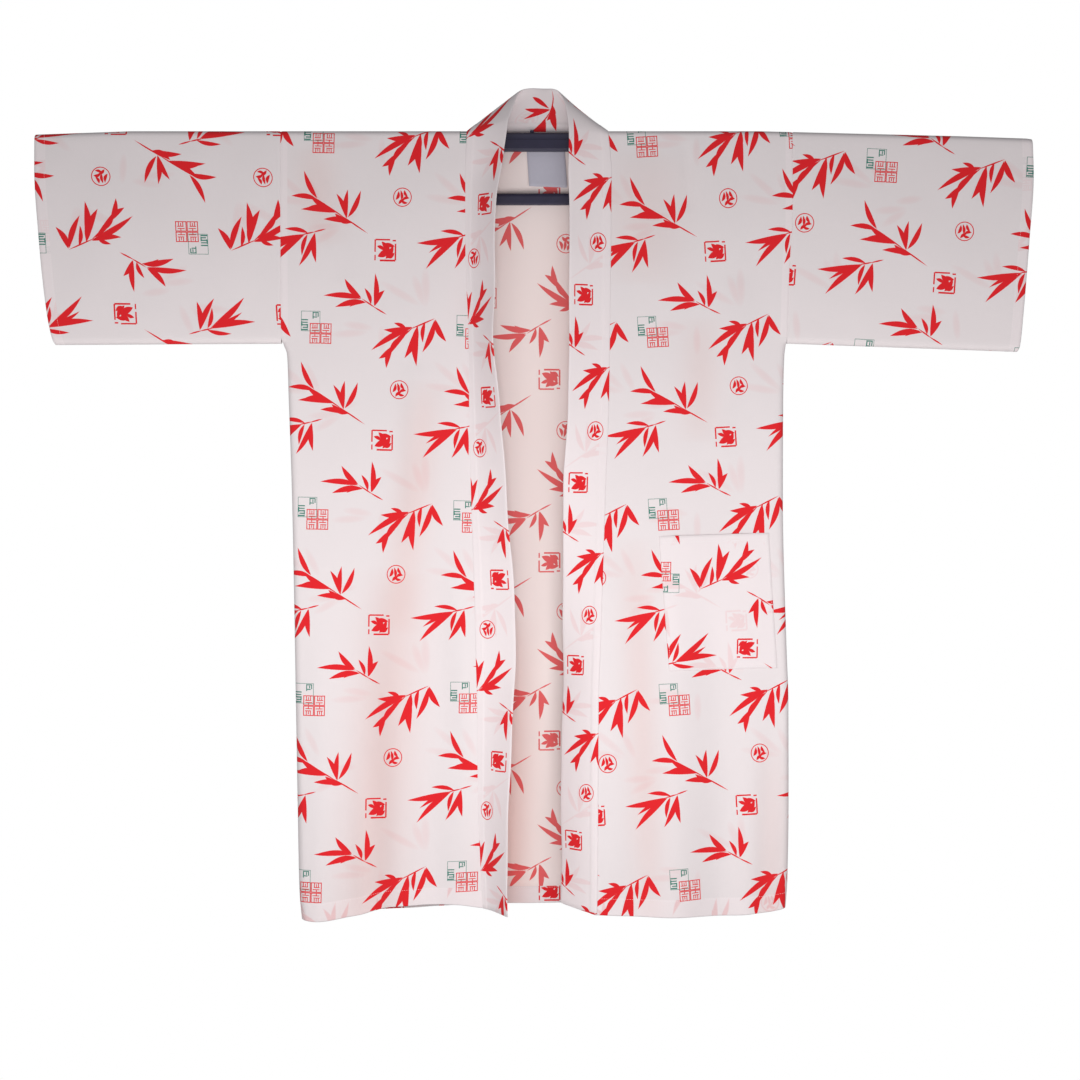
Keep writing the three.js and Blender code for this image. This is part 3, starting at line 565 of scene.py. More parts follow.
@dataclass
class Shell:
    """A thin closed shell on a grid of points in the middle of the cloth.

    The grid comes with one more row and column beyond each edge, from which the normals are worked out.
    """

    name: str
    grid: np.ndarray
    outward: np.ndarray
    inward: np.ndarray
    outer_ink: Ink
    inner_ink: Ink
    turned: bool = False
    zones: list[Zone] = field(default_factory=list)
    folded: tuple[bool, bool, bool, bool] = (False, False, False, False)

    def __post_init__(self) -> None:
        """Works out the normals and the two faces."""
        self.normal = normals(self.grid, self.turned)
        self.middle = self.grid[1:-1, 1:-1]
        self.outer = self.middle + self.normal * self.outward[..., None]
        self.inner = self.middle - self.normal * self.inward[..., None]

    def rim(self) -> tuple[np.ndarray, np.ndarray]:
        """The grid indices round the edge, and the points halfway through the cloth there.

        Returns:
            Flat grid indices in order, and the points, pushed out where that edge is a fold.
        """
        rows, columns = self.middle.shape[:2]
        index = np.arange(rows * columns).reshape(rows, columns)
        ring = np.concatenate([index[0, :-1], index[:-1, -1], index[-1, :0:-1], index[:0:-1, 0]])
        row, column = np.divmod(ring, columns)
        away = self.middle[row, column] - self.middle[
            np.clip(row, 1, rows - 2), np.clip(column, 1, columns - 2)
        ]
        away /= np.linalg.norm(away, axis=-1, keepdims=True)
        top, right, bottom, left = self.folded
        bulge = (
            (top & (row == 0)) | (right & (column == columns - 1))
            | (bottom & (row == rows - 1)) | (left & (column == 0))
        )
        depth = (self.outward + self.inward)[row, column] / 2
        halfway = (self.outer + self.inner)[row, column] / 2
        return ring, halfway + away * (bulge * depth * 0.8)[:, None]

    def build(self, single: bpy.types.Material, doubled: bpy.types.Material) -> bpy.types.Object:
        """Makes the mesh object, in metres, named after the panel.

        Args:
            single: The material of one layer of cloth.
            doubled: The material where cloth lies on cloth.

        Returns:
            The finished object.
        """
        rows, columns = self.middle.shape[:2]
        count = rows * columns
        index = np.arange(count).reshape(rows, columns)
        cells = np.stack([index[:-1, :-1], index[:-1, 1:], index[1:, 1:], index[1:, :-1]], -1)
        cells = cells.reshape(-1, 4)
        ring, halfway = self.rim()
        after = np.roll(ring, -1)
        mid = 2 * count + np.arange(len(ring))
        mid_after = np.roll(mid, -1)
        faces = np.concatenate([
            cells, cells[:, ::-1] + count,
            np.stack([after, ring, mid, mid_after], -1),
            np.stack([mid_after, mid, ring + count, after + count], -1),
        ])
        if self.turned:
            faces = faces[:, ::-1]
        points = np.concatenate([self.outer.reshape(-1, 3), self.inner.reshape(-1, 3), halfway])
        mesh = bpy.data.meshes.new(f"{self.name}_cloth")
        mesh.from_pydata((points * MM).tolist(), [], faces.tolist())
        soft = np.ones(len(faces), bool)
        folded = np.linalg.norm(halfway * 2 - (self.outer + self.inner).reshape(-1, 3)[ring], axis=-1) > 0.1
        soft[2 * len(cells):] = np.tile(folded & np.roll(folded, -1), 2)
        mesh.polygons.foreach_set("use_smooth", soft)
        source = np.concatenate([np.tile(np.arange(count), 2), ring])
        self.write_inks(mesh, source[faces], len(cells), len(ring))
        self.write_map(mesh, faces, source, ring, count)
        for material in (single, doubled):
            mesh.materials.append(material)
        mesh.update()
        return in_scene(mesh.name, mesh)

    def write_inks(self, mesh: bpy.types.Mesh, source: np.ndarray, cells: int, rim: int) -> None:
        """Writes the print's attributes at the faces' corners.

        Args:
            mesh: The mesh.
            source: The grid index of each corner of each face.
            cells: How many grid cells there are.
            rim: How many faces each half of the rim has.
        """
        inks = [self.outer_ink, self.inner_ink, *(zone.ink for zone in self.zones)]
        own, beneath = (np.stack(part) for part in zip(*(ink.corners() for ink in inks)))
        chosen = np.concatenate([np.zeros(cells, int), np.ones(cells, int), np.zeros(2 * rim, int)])
        for number, zone in enumerate(self.zones, start=2):
            start = 0 if zone.outside else cells
            chosen[start:start + cells][zone.cells.ravel()] = number
        layered = np.array([ink.doubled for ink in inks], np.int32)
        mesh.polygons.foreach_set("material_index", layered[chosen])
        for name, values in (("cut", own), ("under", beneath)):
            corner = values[chosen[:, None], source].astype(np.float32)
            mesh.attributes.new(name, "FLOAT_VECTOR", "CORNER").data.foreach_set("vector", corner.ravel())
        # Painted fold shade at each grid point, which the cotton material darkens the cloth by.
        painted_fold_shade = Hanging.painted_fold_shade(self.name, self.middle[..., 0], self.middle[..., 2]).ravel()
        corner = painted_fold_shade[source].astype(np.float32)
        mesh.attributes.new("painted_fold_shade", "FLOAT", "CORNER").data.foreach_set("value", corner.ravel())

    def write_map(
        self, mesh: bpy.types.Mesh, faces: np.ndarray, source: np.ndarray, ring: np.ndarray, count: int
    ) -> None:
        """Lays the two faces side by side in a UV map, each with its half of the rim round it.

        Args:
            mesh: The mesh.
            faces: The faces.
            source: The grid index of each vertex.
            ring: The grid indices round the edge.
            count: How many grid points there are.
        """
        rows, columns = self.middle.shape[:2]
        down, across = np.divmod(source, columns)
        spot = np.stack([across / (columns - 1), down / (rows - 1)], -1)
        rim = spot[2 * count:]
        rim += np.sign(rim.round(6) - 0.5) * (np.abs(rim - 0.5) > 0.499) * 0.02
        corner = spot[faces] * (0.46, 0.92) + (0.02, 0.04)
        inner = np.arange(len(faces)) >= len(faces) - len(ring)
        cells = (rows - 1) * (columns - 1)
        inner[cells:2 * cells] = True
        corner[inner, :, 0] += 0.5
        mesh.uv_layers.new(name="OFBake").data.foreach_set("uv", corner.astype(np.float32).ravel())

    def line(self, rows: Values, columns: Values, outside: bool = True) -> tuple[np.ndarray, np.ndarray]:
        """Points and normals along a line on one face, between grid points where it has to be.

        Args:
            rows: The line's rows, with fractions.
            columns: The line's columns, with fractions.
            outside: On the outer face, or else on the inner one.

        Returns:
            The points and the normals.
        """
        rows, columns = np.broadcast_arrays(rows, columns)
        face, sign = (self.outer, 1) if outside else (self.inner, -1)
        r = np.clip(np.floor(rows).astype(int), 0, face.shape[0] - 2)
        c = np.clip(np.floor(columns).astype(int), 0, face.shape[1] - 2)
        s, t = (rows - r)[:, None], (columns - c)[:, None]

        def read(values: np.ndarray) -> np.ndarray:
            upper = mix(values[r, c], values[r, c + 1], t)
            return mix(upper, mix(values[r + 1, c], values[r + 1, c + 1], t), s)

        return read(face), read(self.normal) * sign


def in_scene(name: str, data: bpy.types.ID) -> bpy.types.Object:
    """A new object in the scene."""
    made = bpy.data.objects.new(name, data)
    bpy.context.scene.collection.objects.link(made)
    return made


def extended(grid: np.ndarray) -> np.ndarray:
    """A grid with a straight-on row and column beyond each edge."""
    grid = np.concatenate([2 * grid[:1] - grid[1:2], grid, 2 * grid[-1:] - grid[-2:-1]])
    return np.concatenate([2 * grid[:, :1] - grid[:, 1:2], grid, 2 * grid[:, -1:] - grid[:, -2:-1]], 1)


def rolled(grid: np.ndarray, distance: np.ndarray, turned: bool) -> np.ndarray:
    """An extended grid whose edges roll inwards where a seam takes them.

    Args:
        grid: The extended grid.
        distance: How far each point is from the nearest seam, without the extra rows and columns.
        turned: Whether outwards is the other way round.

    Returns:
        The new extended grid.
    """
    depth, reach = ROLL
    sink = depth * np.clip(1 - distance / reach, 0, 1) ** 2
    return extended(grid[1:-1, 1:-1] - normals(grid, turned) * sink[..., None])


ARC = np.radians([90, 76, 63, 50, 38, 26, 16, 8, 3, 0])
TURN_STEPS = TURN * (1 - np.cos(np.radians([0, 12, 24, 36, 48, 60, 75, 90])))
HANG_STOPS = (
    SPRING, UNDERARM + TURN + 12, UNDERARM + TURN, UNDERARM + 1, UNDERARM, UNDERARM - 12,
)
HEM_STOPS = (HEM_TOP + 0.4, HEM_TOP - 0.4, HEM + 1, HEM)


@dataclass
class Level:
    """One row of a body panel: an angle on the fold over the bar, or a nominal height below it."""

    angle: float | None
    z: float

    @property
    def run(self) -> float:
        """Its height as the print counts it, measured along the cloth."""
        return self.z if self.angle is None else SPRING + OVER * (math.pi / 2 - self.angle)


def levels() -> list[Level]:
    """The rows of the body's panels, from the fold over the bar down to the hem."""
    top = [Level(angle, 0.0) for angle in ARC[:0:-1]]
    near = fill(HANG_STOPS[:2], 6.5)[:-1]
    arm = fill(HANG_STOPS[1:], 2.5)[:-1]
    low = fill((HANG_STOPS[-1], HEM_STOPS[0]), 6.5)[:-1]
    hem = fill(HEM_STOPS, 5.5)
    return top + [Level(None, z) for z in np.concatenate([near, arm, low, hem])]


@dataclass
class BodyPanel:
    """What the fronts and the back share."""

    rows: list[Level] = field(default_factory=levels)
    whole: bool = False

    def trace(
        self, columns: Callable[[float], np.ndarray], hanging: Callable[[np.ndarray, np.ndarray], np.ndarray],
        over: Callable[[np.ndarray, float], np.ndarray],
    ) -> tuple[np.ndarray, np.ndarray]:
        """The panel's points, and their heights as the print counts them.

        Args:
            columns: Gives a row's x positions from its height.
            hanging: Gives a row's points below the fold over the bar, from x and height.
            over: Gives a row's points on that fold, from x and the angle from the top.

        Returns:
            The points and the heights.
        """
        points, run = [], []
        for row in self.rows:
            below = row.angle is None
            x = columns(row.z if below else 0.0)
            points.append(hanging(x, np.full_like(x, row.z)) if below else over(x, row.angle))
            run.append(points[-1][:, 2] if below else row.run - FORM.drop(x))
        return np.array(points), np.array(run)

    def hem_zones(self, cut: np.ndarray, mirrored: np.ndarray, again: np.ndarray) -> list[Zone]:
        """The inks of the hem, which is turned in twice.

        Args:
            cut: The print on the panel.
            mirrored: The print of the layer that is turned up inside.
            again: The print of the layer between the two.

        Returns:
            The zones of the outer and the inner face.
        """
        z = np.array([row.z for row in self.rows[:-1]])
        hem = (z <= HEM_TOP - 0.3)[:, None] & np.ones(cut.shape[1] - 1, bool)
        outer_half = hem & (np.arange(cut.shape[1] - 1) < cut.shape[1] * 0.42)
        return [
            Zone(hem, True, Ink(cut, RIGHT_SIDE, mirrored, HEM_GHOST, True)),
            Zone(outer_half, True, Ink(cut, RIGHT_SIDE, again, HEM_GHOST, True)),
            Zone(hem, False, Ink(mirrored, RIGHT_SIDE, cut, HEM_GHOST / 2, True)),
        ]

    def inward(self, columns: int) -> np.ndarray:
        """How far the inner face lies from the middle, thicker where the hem is turned in."""
        z = np.array([row.z for row in self.rows])
        half = np.where(z <= HEM_TOP - 0.3, CLOTH_HALF + HEM_TURNED, CLOTH_HALF)
        return half[:, None] * np.ones(columns)

    def allowance(self, middle: np.ndarray, cut: np.ndarray) -> list[Zone]:
        """The whiter strip beside the armholes, where the cloth's edge is turned under."""
        x, z = middle[..., 0], middle[..., 2]
        from_side = np.minimum(abs(x - x[:, :1]), abs(x - x[:, -1:]) if self.whole else np.inf)
        beside = (from_side[:-1] < TURN + 0.1) & (z[:-1] > SLEEVE_FOOT)
        return [Zone(beside[:, :-1] & beside[:, 1:], True, Ink(cut, RIGHT_SIDE, cut, 0.0, True))]

    def hem_seams(self, shell: "Shell") -> list[tuple[np.ndarray, np.ndarray]]:
        """The line of the hem's stitches on both faces, as points and outward directions."""
        top = len(ARC) - 1
        heights = np.array([row.z for row in self.rows[top:]])
        row = float(np.interp(-(HEM_TOP - 2), -heights, np.arange(len(heights)) + top))
        columns = np.arange(1, shell.middle.shape[1] - 1)
        return [shell.line(row, columns, outside) for outside in (True, False)]


@dataclass
class Front(BodyPanel):
    """A front of the body, from the fold over the bar to the hem and from the side to the band."""

    side: Side = Side.RIGHT
    step: float = 5.0

    def columns(self, z: float) -> np.ndarray:
        """The x positions of a row: close in the turn at the side and beside the band."""
        side_x = float(SIDES.at(self.side.value, z))
        seam_x = float(BAND[self.side].at("seam_x", min(z, SPRING)))
        inward = math.copysign(1, seam_x - side_x)
        count = math.ceil(230 / self.step)
        even = np.linspace(side_x + inward * TURN, seam_x - inward * 3, count)
        close = seam_x - inward * np.array([1.5, 0.6, 0])
        return np.concatenate([side_x + inward * TURN_STEPS[:-1], even, close])

    def shell(self) -> Shell:
        """The front as a shell."""
        panel = f"front_{self.side.value}"
        middle, z = self.trace(
            self.columns, lambda x, z: FORM.front(self.side, x, z), lambda x, angle: FORM.fold(x, -angle)
        )
        grid = extended(middle)
        behind = np.array([FORM.fold(grid[1, :, 0], 0.05)])
        grid = np.concatenate([behind, grid[1:]])
        turned = self.side is Side.RIGHT
        from_side = np.abs(middle[..., 0] - middle[:, :1, 0])
        grid = np.concatenate([grid[:1], rolled(grid, from_side, turned)[1:]])
        x = middle[..., 0]
        cut = print_on(panel, x, z)
        beneath = print_on("back", x, z)
        mirrored = print_on(panel, x, 2 * middle[-1:, :, 2] - z)
        again = print_on(panel, x, z - 2 * HEM_WIDE)
        return Shell(
            panel, grid, np.full(x.shape, CLOTH_HALF), self.inward(x.shape[1]),
            Ink(cut, RIGHT_SIDE, beneath, FAINT), Ink(cut, WRONG_SIDE, beneath, FAINT), turned,
            self.hem_zones(cut, mirrored, again) + self.allowance(middle, cut),
            (False, False, True, False),
        )


@dataclass
class Back(BodyPanel):
    """The back of the body, which stands up behind the neck."""

    whole: bool = True
    step: float = 7.0

    def columns(self, z: float) -> np.ndarray:
        """The x positions of a row."""
        right, left = (float(SIDES.at(side.value, z)) for side in Side)
        corners = (NECK_CORNER[Side.RIGHT], NECK_CORNER[Side.LEFT])
        outer = [
            np.linspace(right + TURN, corners[0], 32, endpoint=False),
            fill((corners[0], corners[0] + NECK_EASE), 2.6)[:-1],
            fill((corners[0] + NECK_EASE, corners[1] - NECK_EASE), self.step)[:-1],
            fill((corners[1] - NECK_EASE, corners[1]), 2.6)[:-1],
            np.linspace(corners[1], left - TURN, 32),
        ]
        return np.concatenate([right + TURN_STEPS[:-1], *outer, left - TURN_STEPS[-2::-1]])

    def shell(self) -> Shell:
        """The back as a shell."""
        middle, z = self.trace(self.columns, FORM.back, FORM.back_top)
        grid = extended(middle)
        over = mix(FORM.fold(grid[1, :, 0], -0.05), grid[0], FORM.standing(grid[1, :, 0])[:, None])
        grid = np.concatenate([[over], grid[1:]])
        x = middle[..., 0]
        from_side = np.minimum(x - x[:, :1], x[:, -1:] - x)
        grid = np.concatenate([grid[:1], rolled(grid, from_side, False)[1:]])
        cut = print_on("back", x, z)
        beneath = np.where((x < 7)[..., None], print_on("front_right", x, z), print_on("front_left", x, z))
        mirrored = print_on("back", x, 2 * middle[-1:, :, 2] - z)
        return Shell(
            "back", grid, np.full(x.shape, CLOTH_HALF), self.inward(x.shape[1]),
            Ink(cut, RIGHT_SIDE, beneath, FAINT), Ink(cut, WRONG_SIDE, beneath, 0.0), False,
            self.hem_zones(cut, mirrored, cut) + self.allowance(middle, cut),
            (False, False, True, False),
        )


@dataclass
class Sleeve:
    """A sleeve: one length of cloth over the bar, sewn along its lower edge and open at the cuff."""

    side: Side
    step: float = 5.5
    length: float = 310.0

    def shares(self) -> np.ndarray:
        """The columns' shares of the way from the armhole to the cuff."""
        cuff = 1 - CUFF_WIDE / self.length
        edge = 0.4 / self.length
        return np.concatenate([
            np.array([0, 0.8, 1.7, 2.8]) / self.length,
            fill((5 / self.length, cuff - edge), self.step / self.length)[:-1],
            fill((cuff - edge, cuff + edge, 1), 4 / self.length),
        ])

    def seams(self, shell: Shell) -> list[tuple[np.ndarray, np.ndarray]]:
        """The line of the cuff's stitches on both faces."""
        shares = self.shares()
        column = float(np.interp(1 - (CUFF_WIDE - 2) / self.length, shares, np.arange(len(shares))))
        rows = np.arange(shell.middle.shape[0])
        return [shell.line(rows, column, outside) for outside in (True, False)]

    def shell(self) -> Shell:
        """The sleeve as a shell."""
        shares = self.shares()
        lower = np.radians([0, 12, 24, 36, 48, 60, 75])
        middle = np.linspace(1, 0, 40)
        ring = (
            [(1.0, TURN * math.cos(a), math.sin(a), None) for a in lower]
            + [(share, 0.0, 1.0, None) for share in middle]
            + [(0.0, 0.0, 0.0, angle) for angle in ARC[1:]]
        )
        rows, runs = [], []
        for sign, heights in ((-1, ring), (1, ring[-2::-1])):
            for share, down, opened, angle in heights:
                if angle is not None:
                    nominal = CREST - OVER * (1 - math.cos(angle))
                else:
                    nominal = mix(SPRING, UNDERARM + TURN, share) - down
                seam_x = SIDES.at(self.side.value, max(nominal, SLEEVE_FOOT))
                x = mix(seam_x, CUFFS.at(self.side.value, nominal), shares)
                fold_z = np.interp(x, *SLEEVE_FOLD[self.side])
                crest = CREST - FORM.drop(x)
                free = smooth(shares, 0, 0.12)
                if angle is not None:
                    y = np.full_like(x, OVER * math.sin(angle))
                    z = crest - OVER * (1 - math.cos(angle))
                    run = crest - OVER + OVER * (math.pi / 2 - angle)
                else:
                    z = mix(crest - OVER, fold_z + TURN, share) - down
                    quiet = smooth(share, 0, 0.12) * (1 - smooth(share, 0.88, 1)) * opened
                    y = HANG.at("side", nominal) * opened
                    y = y + quiet * free * FORM.slack(f"sleeve_{self.side.value}", x, z * sign)
                    run = z
                top_run = crest - OVER + OVER * math.pi / 2
                rows.append(place(x, sign * y, z))
                runs.append(run if sign < 0 else 2 * top_run - run)
        grid = np.array(rows)
        x, run = grid[..., 0], np.array(runs)
        seam = np.abs(x - x[:, :1])
        low = np.minimum(np.abs(grid[..., 2] - grid[:1, :, 2]), np.abs(grid[..., 2] - grid[-1:, :, 2]))
        side_on = np.arange(len(grid))[:, None]
        near_end = (side_on < 6) | (side_on > len(grid) - 7)
        distance = np.minimum(seam, np.where(near_end, low, ROLL[1]))
        turned = self.side is Side.RIGHT
        wide = rolled(extended(grid), distance, turned)
        panel = f"sleeve_{self.side.value}"
        cut = LAYS[panel](x, run)
        top_run = (CREST - FORM.drop(x)) - OVER + OVER * math.pi / 2
        beneath = LAYS[panel](x, 2 * top_run - run)
        cuff = np.ones((len(grid) - 1, 1), bool) & (shares[:-1] > 1 - CUFF_WIDE / self.length)
        mirrored = LAYS[panel](2 * x[:, -1:] - x, run)
        inward = np.where(shares > 1 - CUFF_WIDE / self.length, CLOTH_HALF + HEM_TURNED, CLOTH_HALF)
        return Shell(
            panel, wide, np.full(x.shape, CLOTH_HALF), np.ones((len(grid), 1)) * inward,
            Ink(cut, RIGHT_SIDE, beneath, FAINT), Ink(cut, WRONG_SIDE, beneath, 0.0), turned,
            [
                Zone(cuff, True, Ink(cut, RIGHT_SIDE, mirrored, HEM_GHOST / 2, True)),
                Zone(cuff, False, Ink(mirrored, RIGHT_SIDE, cut, HEM_GHOST / 2, True)),
            ],
            (False, True, False, False),
        )


BAND_PROFILE = Table(
    "share out",
    (0, 0.7), (0.02, 1.05), (0.06, 1.2), (0.185, 1.2), (0.2, 0.85), (0.4, 0.8), (0.9, 0.95),
    (0.96, 0.95), (0.985, 0.8), (1, 0.45),
)
BAND_SHARES = np.array([
    0, 0.02, 0.05, 0.1, 0.15, 0.185, 0.2, 0.24, 0.32, 0.42, 0.52, 0.62, 0.72, 0.82, 0.9, 0.95, 0.985, 1,
])
BAND_SQUARE_AT = 134.5
BAND_WAVES = ((0.9, 34.0, 0.0), (0.7, 19.0, 1.1))
BESIDE_SEAM = 0.19
BESIDE_GHOST = 0.02
BAND_ANCHORS = {
    Side.RIGHT: ((-800.7, -7), (-572.2, -6), (-342.6, -5), (-97.7, -4)),
    Side.LEFT: ((-211.7, -2), (-449.6, -1), (-680.2, 0), (-900.6, 1)),
}


@dataclass
class Collar:
    """The collar band: a strip folded in two, from one hem up, round the neck and down to the other."""

    step: float = 6.0

    def hanging(self, side: Side, z: float) -> tuple[np.ndarray, np.ndarray, float]:
        """The seam, the free edge and the curl of the band at a height of one front."""
        table = BAND[side]
        hem = float(HEMS[side].at("z", 1.0))
        level = float(FORM.hang(z, hem))
        seam = np.array([table.at("seam_x", z), -table.at("seam", z), level])
        edge = np.array([table.at("edge_x", z), -table.at("edge", z), level + table.at("rise", z)])
        return seam, edge, 1 + BAND_CURL * float(smooth(-z, *BAND_EASE))

    def around(self, step: float) -> tuple[np.ndarray, np.ndarray, float]:
        """The same at a step round the neck."""
        angle = math.radians(float(NECK.at("over", step)))
        x = NECK.at("seam_x", step)
        front = angle < -1e-6
        seam = FORM.fold(x, angle) if front else FORM.back_top(x, 0.0)
        edge = np.array([NECK.at(name, step) for name in ("edge_x", "edge_y", "edge_z")])
        return seam, edge, 1.0

    def stations(self) -> tuple[np.ndarray, np.ndarray, np.ndarray, list[tuple[Side | None, float]]]:
        """The band's two edges and curl along its whole length, and where each station is."""
        heights = fill((HEM, SPRING - 12), self.step).tolist() + fill((SPRING - 10, SPRING), 3).tolist()
        marks = [(Side.RIGHT, z) for z in heights]
        marks += [(None, step) for step in fill((0, 18), 0.2)[1:-1]]
        marks += [(Side.LEFT, z) for z in heights[::-1]]
        lines = [self.around(value) if side is None else self.hanging(side, value) for side, value in marks]
        seam, edge = (np.array([line[n] for line in lines], float) for n in (0, 1))
        curl = np.array([line[2] for line in lines])
        neck = np.array([side is None for side, _ in marks])
        soft = np.convolve(neck, np.ones(9) / 9, "same")
        for _ in range(6):
            edge, curl = eased(edge, soft[:, None]), eased(curl, soft)
        return seam, edge, curl, marks

    def shell(self) -> Shell:
        """The band as a shell."""
        seam, edge, curl, marks = self.stations()
        across = edge - seam
        start = seam - across / np.linalg.norm(across, axis=-1, keepdims=True) * LAP
        share = BAND_SHARES[None, :, None]
        grid = mix(start[:, None], edge[:, None], share)
        grid[..., 1] = mix(start[:, None, 1], edge[:, None, 1], BAND_SHARES[None] ** curl[:, None])
        length = np.concatenate([[0], np.cumsum(np.linalg.norm(np.diff(grid[:, 9], axis=0), axis=-1))])
        wave = sum(height * np.sin(length / run + phase) for height, run, phase in BAND_WAVES)
        sway = (wave[:, None] * BAND_SHARES[None] ** 2)[..., None]
        wide = extended(grid + normals(extended(grid)) * sway)
        v = self.print_run(marks, length)
        from_edge = (1 - BAND_SHARES)[None] * BAND_WIDTH * np.ones((len(grid), 1))
        down = v[:, None] * np.ones(len(BAND_SHARES))
        outer = np.stack([from_edge + BAND_WIDTH, down], -1)
        inner = np.stack([BAND_WIDTH - from_edge, down], -1)
        thickness = BAND_PROFILE.at("out", BAND_SHARES)[None] * np.ones((len(grid), 1))
        beside = np.ones((len(grid) - 1, 1), bool) & (BAND_SHARES[:-1] < BESIDE_SEAM)
        return Shell(
            "collar", wide, thickness, thickness,
            Ink(outer, RIGHT_SIDE, inner, BAND_GHOST, True), Ink(inner, RIGHT_SIDE, outer, BAND_GHOST, True),
            False,
            [
                Zone(beside, True, Ink(outer, RIGHT_SIDE, inner, BESIDE_GHOST, True)),
                Zone(beside, False, Ink(inner, RIGHT_SIDE, outer, BESIDE_GHOST, True)),
            ],
            (True, True, True, False),
        )

    @staticmethod
    def print_run(marks: list[tuple[Side | None, float]], length: np.ndarray) -> np.ndarray:
        """The print's coordinate along the band, from where its square seals lie on each front."""
        known = []
        for side, anchors in BAND_ANCHORS.items():
            at = [n for n, mark in enumerate(marks) if mark[0] is side]
            heights = np.array([marks[n][1] for n in at])
            order = np.argsort(heights)
            for z, number in anchors:
                known.append((np.interp(z, heights[order], length[at][order]), number))
        known.sort()
        where, number = np.array(known).T
        slope = (number[-1] - number[-2]) / (where[-1] - where[-2])
        first = (number[1] - number[0]) / (where[1] - where[0])
        value = np.interp(length, where, number)
        value += np.maximum(length - where[-1], 0) * slope - np.maximum(where[0] - length, 0) * first
        return BAND_SQUARE_AT + value * REPEAT.tall


@dataclass
class Patch:
    """A small piece laid on a panel."""

    corners: tuple[tuple[tuple[float, float], ...], ...]
    step: float = 4.0

    def spread(self) -> tuple[np.ndarray, np.ndarray, np.ndarray, np.ndarray]:
        """Its x and z, and the shares down and across, at each grid point."""
        (a, b), (c, d) = self.corners
        down = np.linspace(0, 1, math.ceil(math.dist(a, c) / self.step) + 1)[:, None]
        across = np.linspace(0, 1, math.ceil(math.dist(a, b) / self.step) + 1)[None]
        x, z = (mix(mix(a[n], b[n], across), mix(c[n], d[n], across), down) for n in (0, 1))
        down, across = np.broadcast_arrays(down, across)
        return x, z, down, across

    @staticmethod
    def moved(surface: Callable, x: np.ndarray, z: np.ndarray, distance: np.ndarray) -> np.ndarray:
        """Points of a surface moved out along its normals."""
        normal = np.cross(surface(x + 1, z) - surface(x - 1, z), surface(x, z + 1) - surface(x, z - 1))
        normal /= np.linalg.norm(normal, axis=-1, keepdims=True)
        return surface(x, z) + normal * distance[..., None]


@dataclass
class Pocket(Patch):
    """The patch pocket on the left front."""

    corners: tuple = POCKET_CORNERS
    mouth: float = 10.0
    inset: float = 2.0
    gap: float = 0.05
    lift: float = 0.6
    slack: float = 0.9
    ripple: Ripple = Ripple(0.25, 11, 23)

    def seams(self, shell: Shell) -> list[tuple[np.ndarray, np.ndarray]]:
        """The lines of the stitches round the pocket and under its mouth."""
        rows, columns = shell.middle.shape[:2]
        top, bottom = self.mouth / self.step - 0.4, rows - 1 - self.inset / self.step
        left, right = self.inset / self.step, columns - 1 - self.inset / self.step
        down, across = np.linspace(0, bottom, 60), np.linspace(left, right, 50)
        places = ((down, left), (down, right), (bottom, across), (top, across))
        return [shell.line(*place) for place in places]

    def shell(self) -> Shell:
        """The pocket as a shell."""
        x, z, down, across = self.spread()
        inside = np.minimum(np.minimum(across, 1 - across) * 8, (1 - down) * 8)
        lift = 2 * CLOTH_HALF + self.gap + self.lift * smooth(inside, 0, 1)
        lift = lift + self.slack * smooth(inside, 0, 2.5) * (1 - smooth(down, 0, 0.35))
        lift = lift + self.ripple.at(x, z) * smooth(inside, 0, 1)
        grid = self.moved(lambda a, b: FORM.front(Side.LEFT, a, b), x, z, lift)
        cut = LAYS["pocket"](x, z)
        beneath = print_on("front_left", x, z)
        rows, columns = x.shape
        tall = abs(self.corners[1][0][1] - self.corners[0][0][1])
        mouth = down[:-1, :-1] < self.mouth / tall
        mirrored = LAYS["pocket"](x, 2 * z[:1] - z)
        return Shell(
            "pocket", extended(grid), np.full((rows, columns), CLOTH_HALF),
            np.full((rows, columns), CLOTH_HALF),
            Ink(cut, RIGHT_SIDE, beneath, POCKET_GHOST, True), Ink(cut, WRONG_SIDE, beneath, 0.0), True,
            [
                Zone(mouth, True, Ink(cut, RIGHT_SIDE, mirrored, 0.05, True)),
                Zone(mouth, False, Ink(mirrored, RIGHT_SIDE, cut, 0.05, True)),
            ],
            (True, True, True, True),
        )


@dataclass
class Label(Patch):
    """The bare tape that hangs from the neck seam inside the back."""

    corners: tuple = LABEL_CORNERS
    half: float = 0.25
    gap: float = 0.25
    swing: float = 1.6
    cup: float = 0.8

    def shell(self) -> Shell:
        """The label as a shell."""
        x, z, down, across = self.spread()
        lift = CLOTH_HALF + self.half + self.gap + self.swing * down**2
        lift = lift + self.cup * down * (across - 0.5) ** 2 * 4
        grid = self.moved(FORM.back, x, z, lift)
        flat = np.stack([x, z], -1)
        plain = Ink(flat, 0.0, flat, 0.0)
        half = np.full(x.shape, self.half)
        return Shell("label", extended(grid), half, half, plain, plain, True, [], (True, True, True, True))


# ---- Node trees


def node_group(name: str, kind: str, inputs: dict[str, str], outputs: dict[str, str]) -> bpy.types.NodeTree:
    """A new node group.

    Args:
        name: Its name.
        kind: The kind of tree.
        inputs: The kinds of its inputs, by name.
        outputs: The kinds of its outputs, by name.

    Returns:
        The group, still empty.
    """
    made = bpy.data.node_groups.new(name, kind)
    for way, sockets in (("INPUT", inputs), ("OUTPUT", outputs)):
        for socket, carries in sockets.items():
            made.interface.new_socket(socket, in_out=way, socket_type=f"NodeSocket{carries}")
    return made


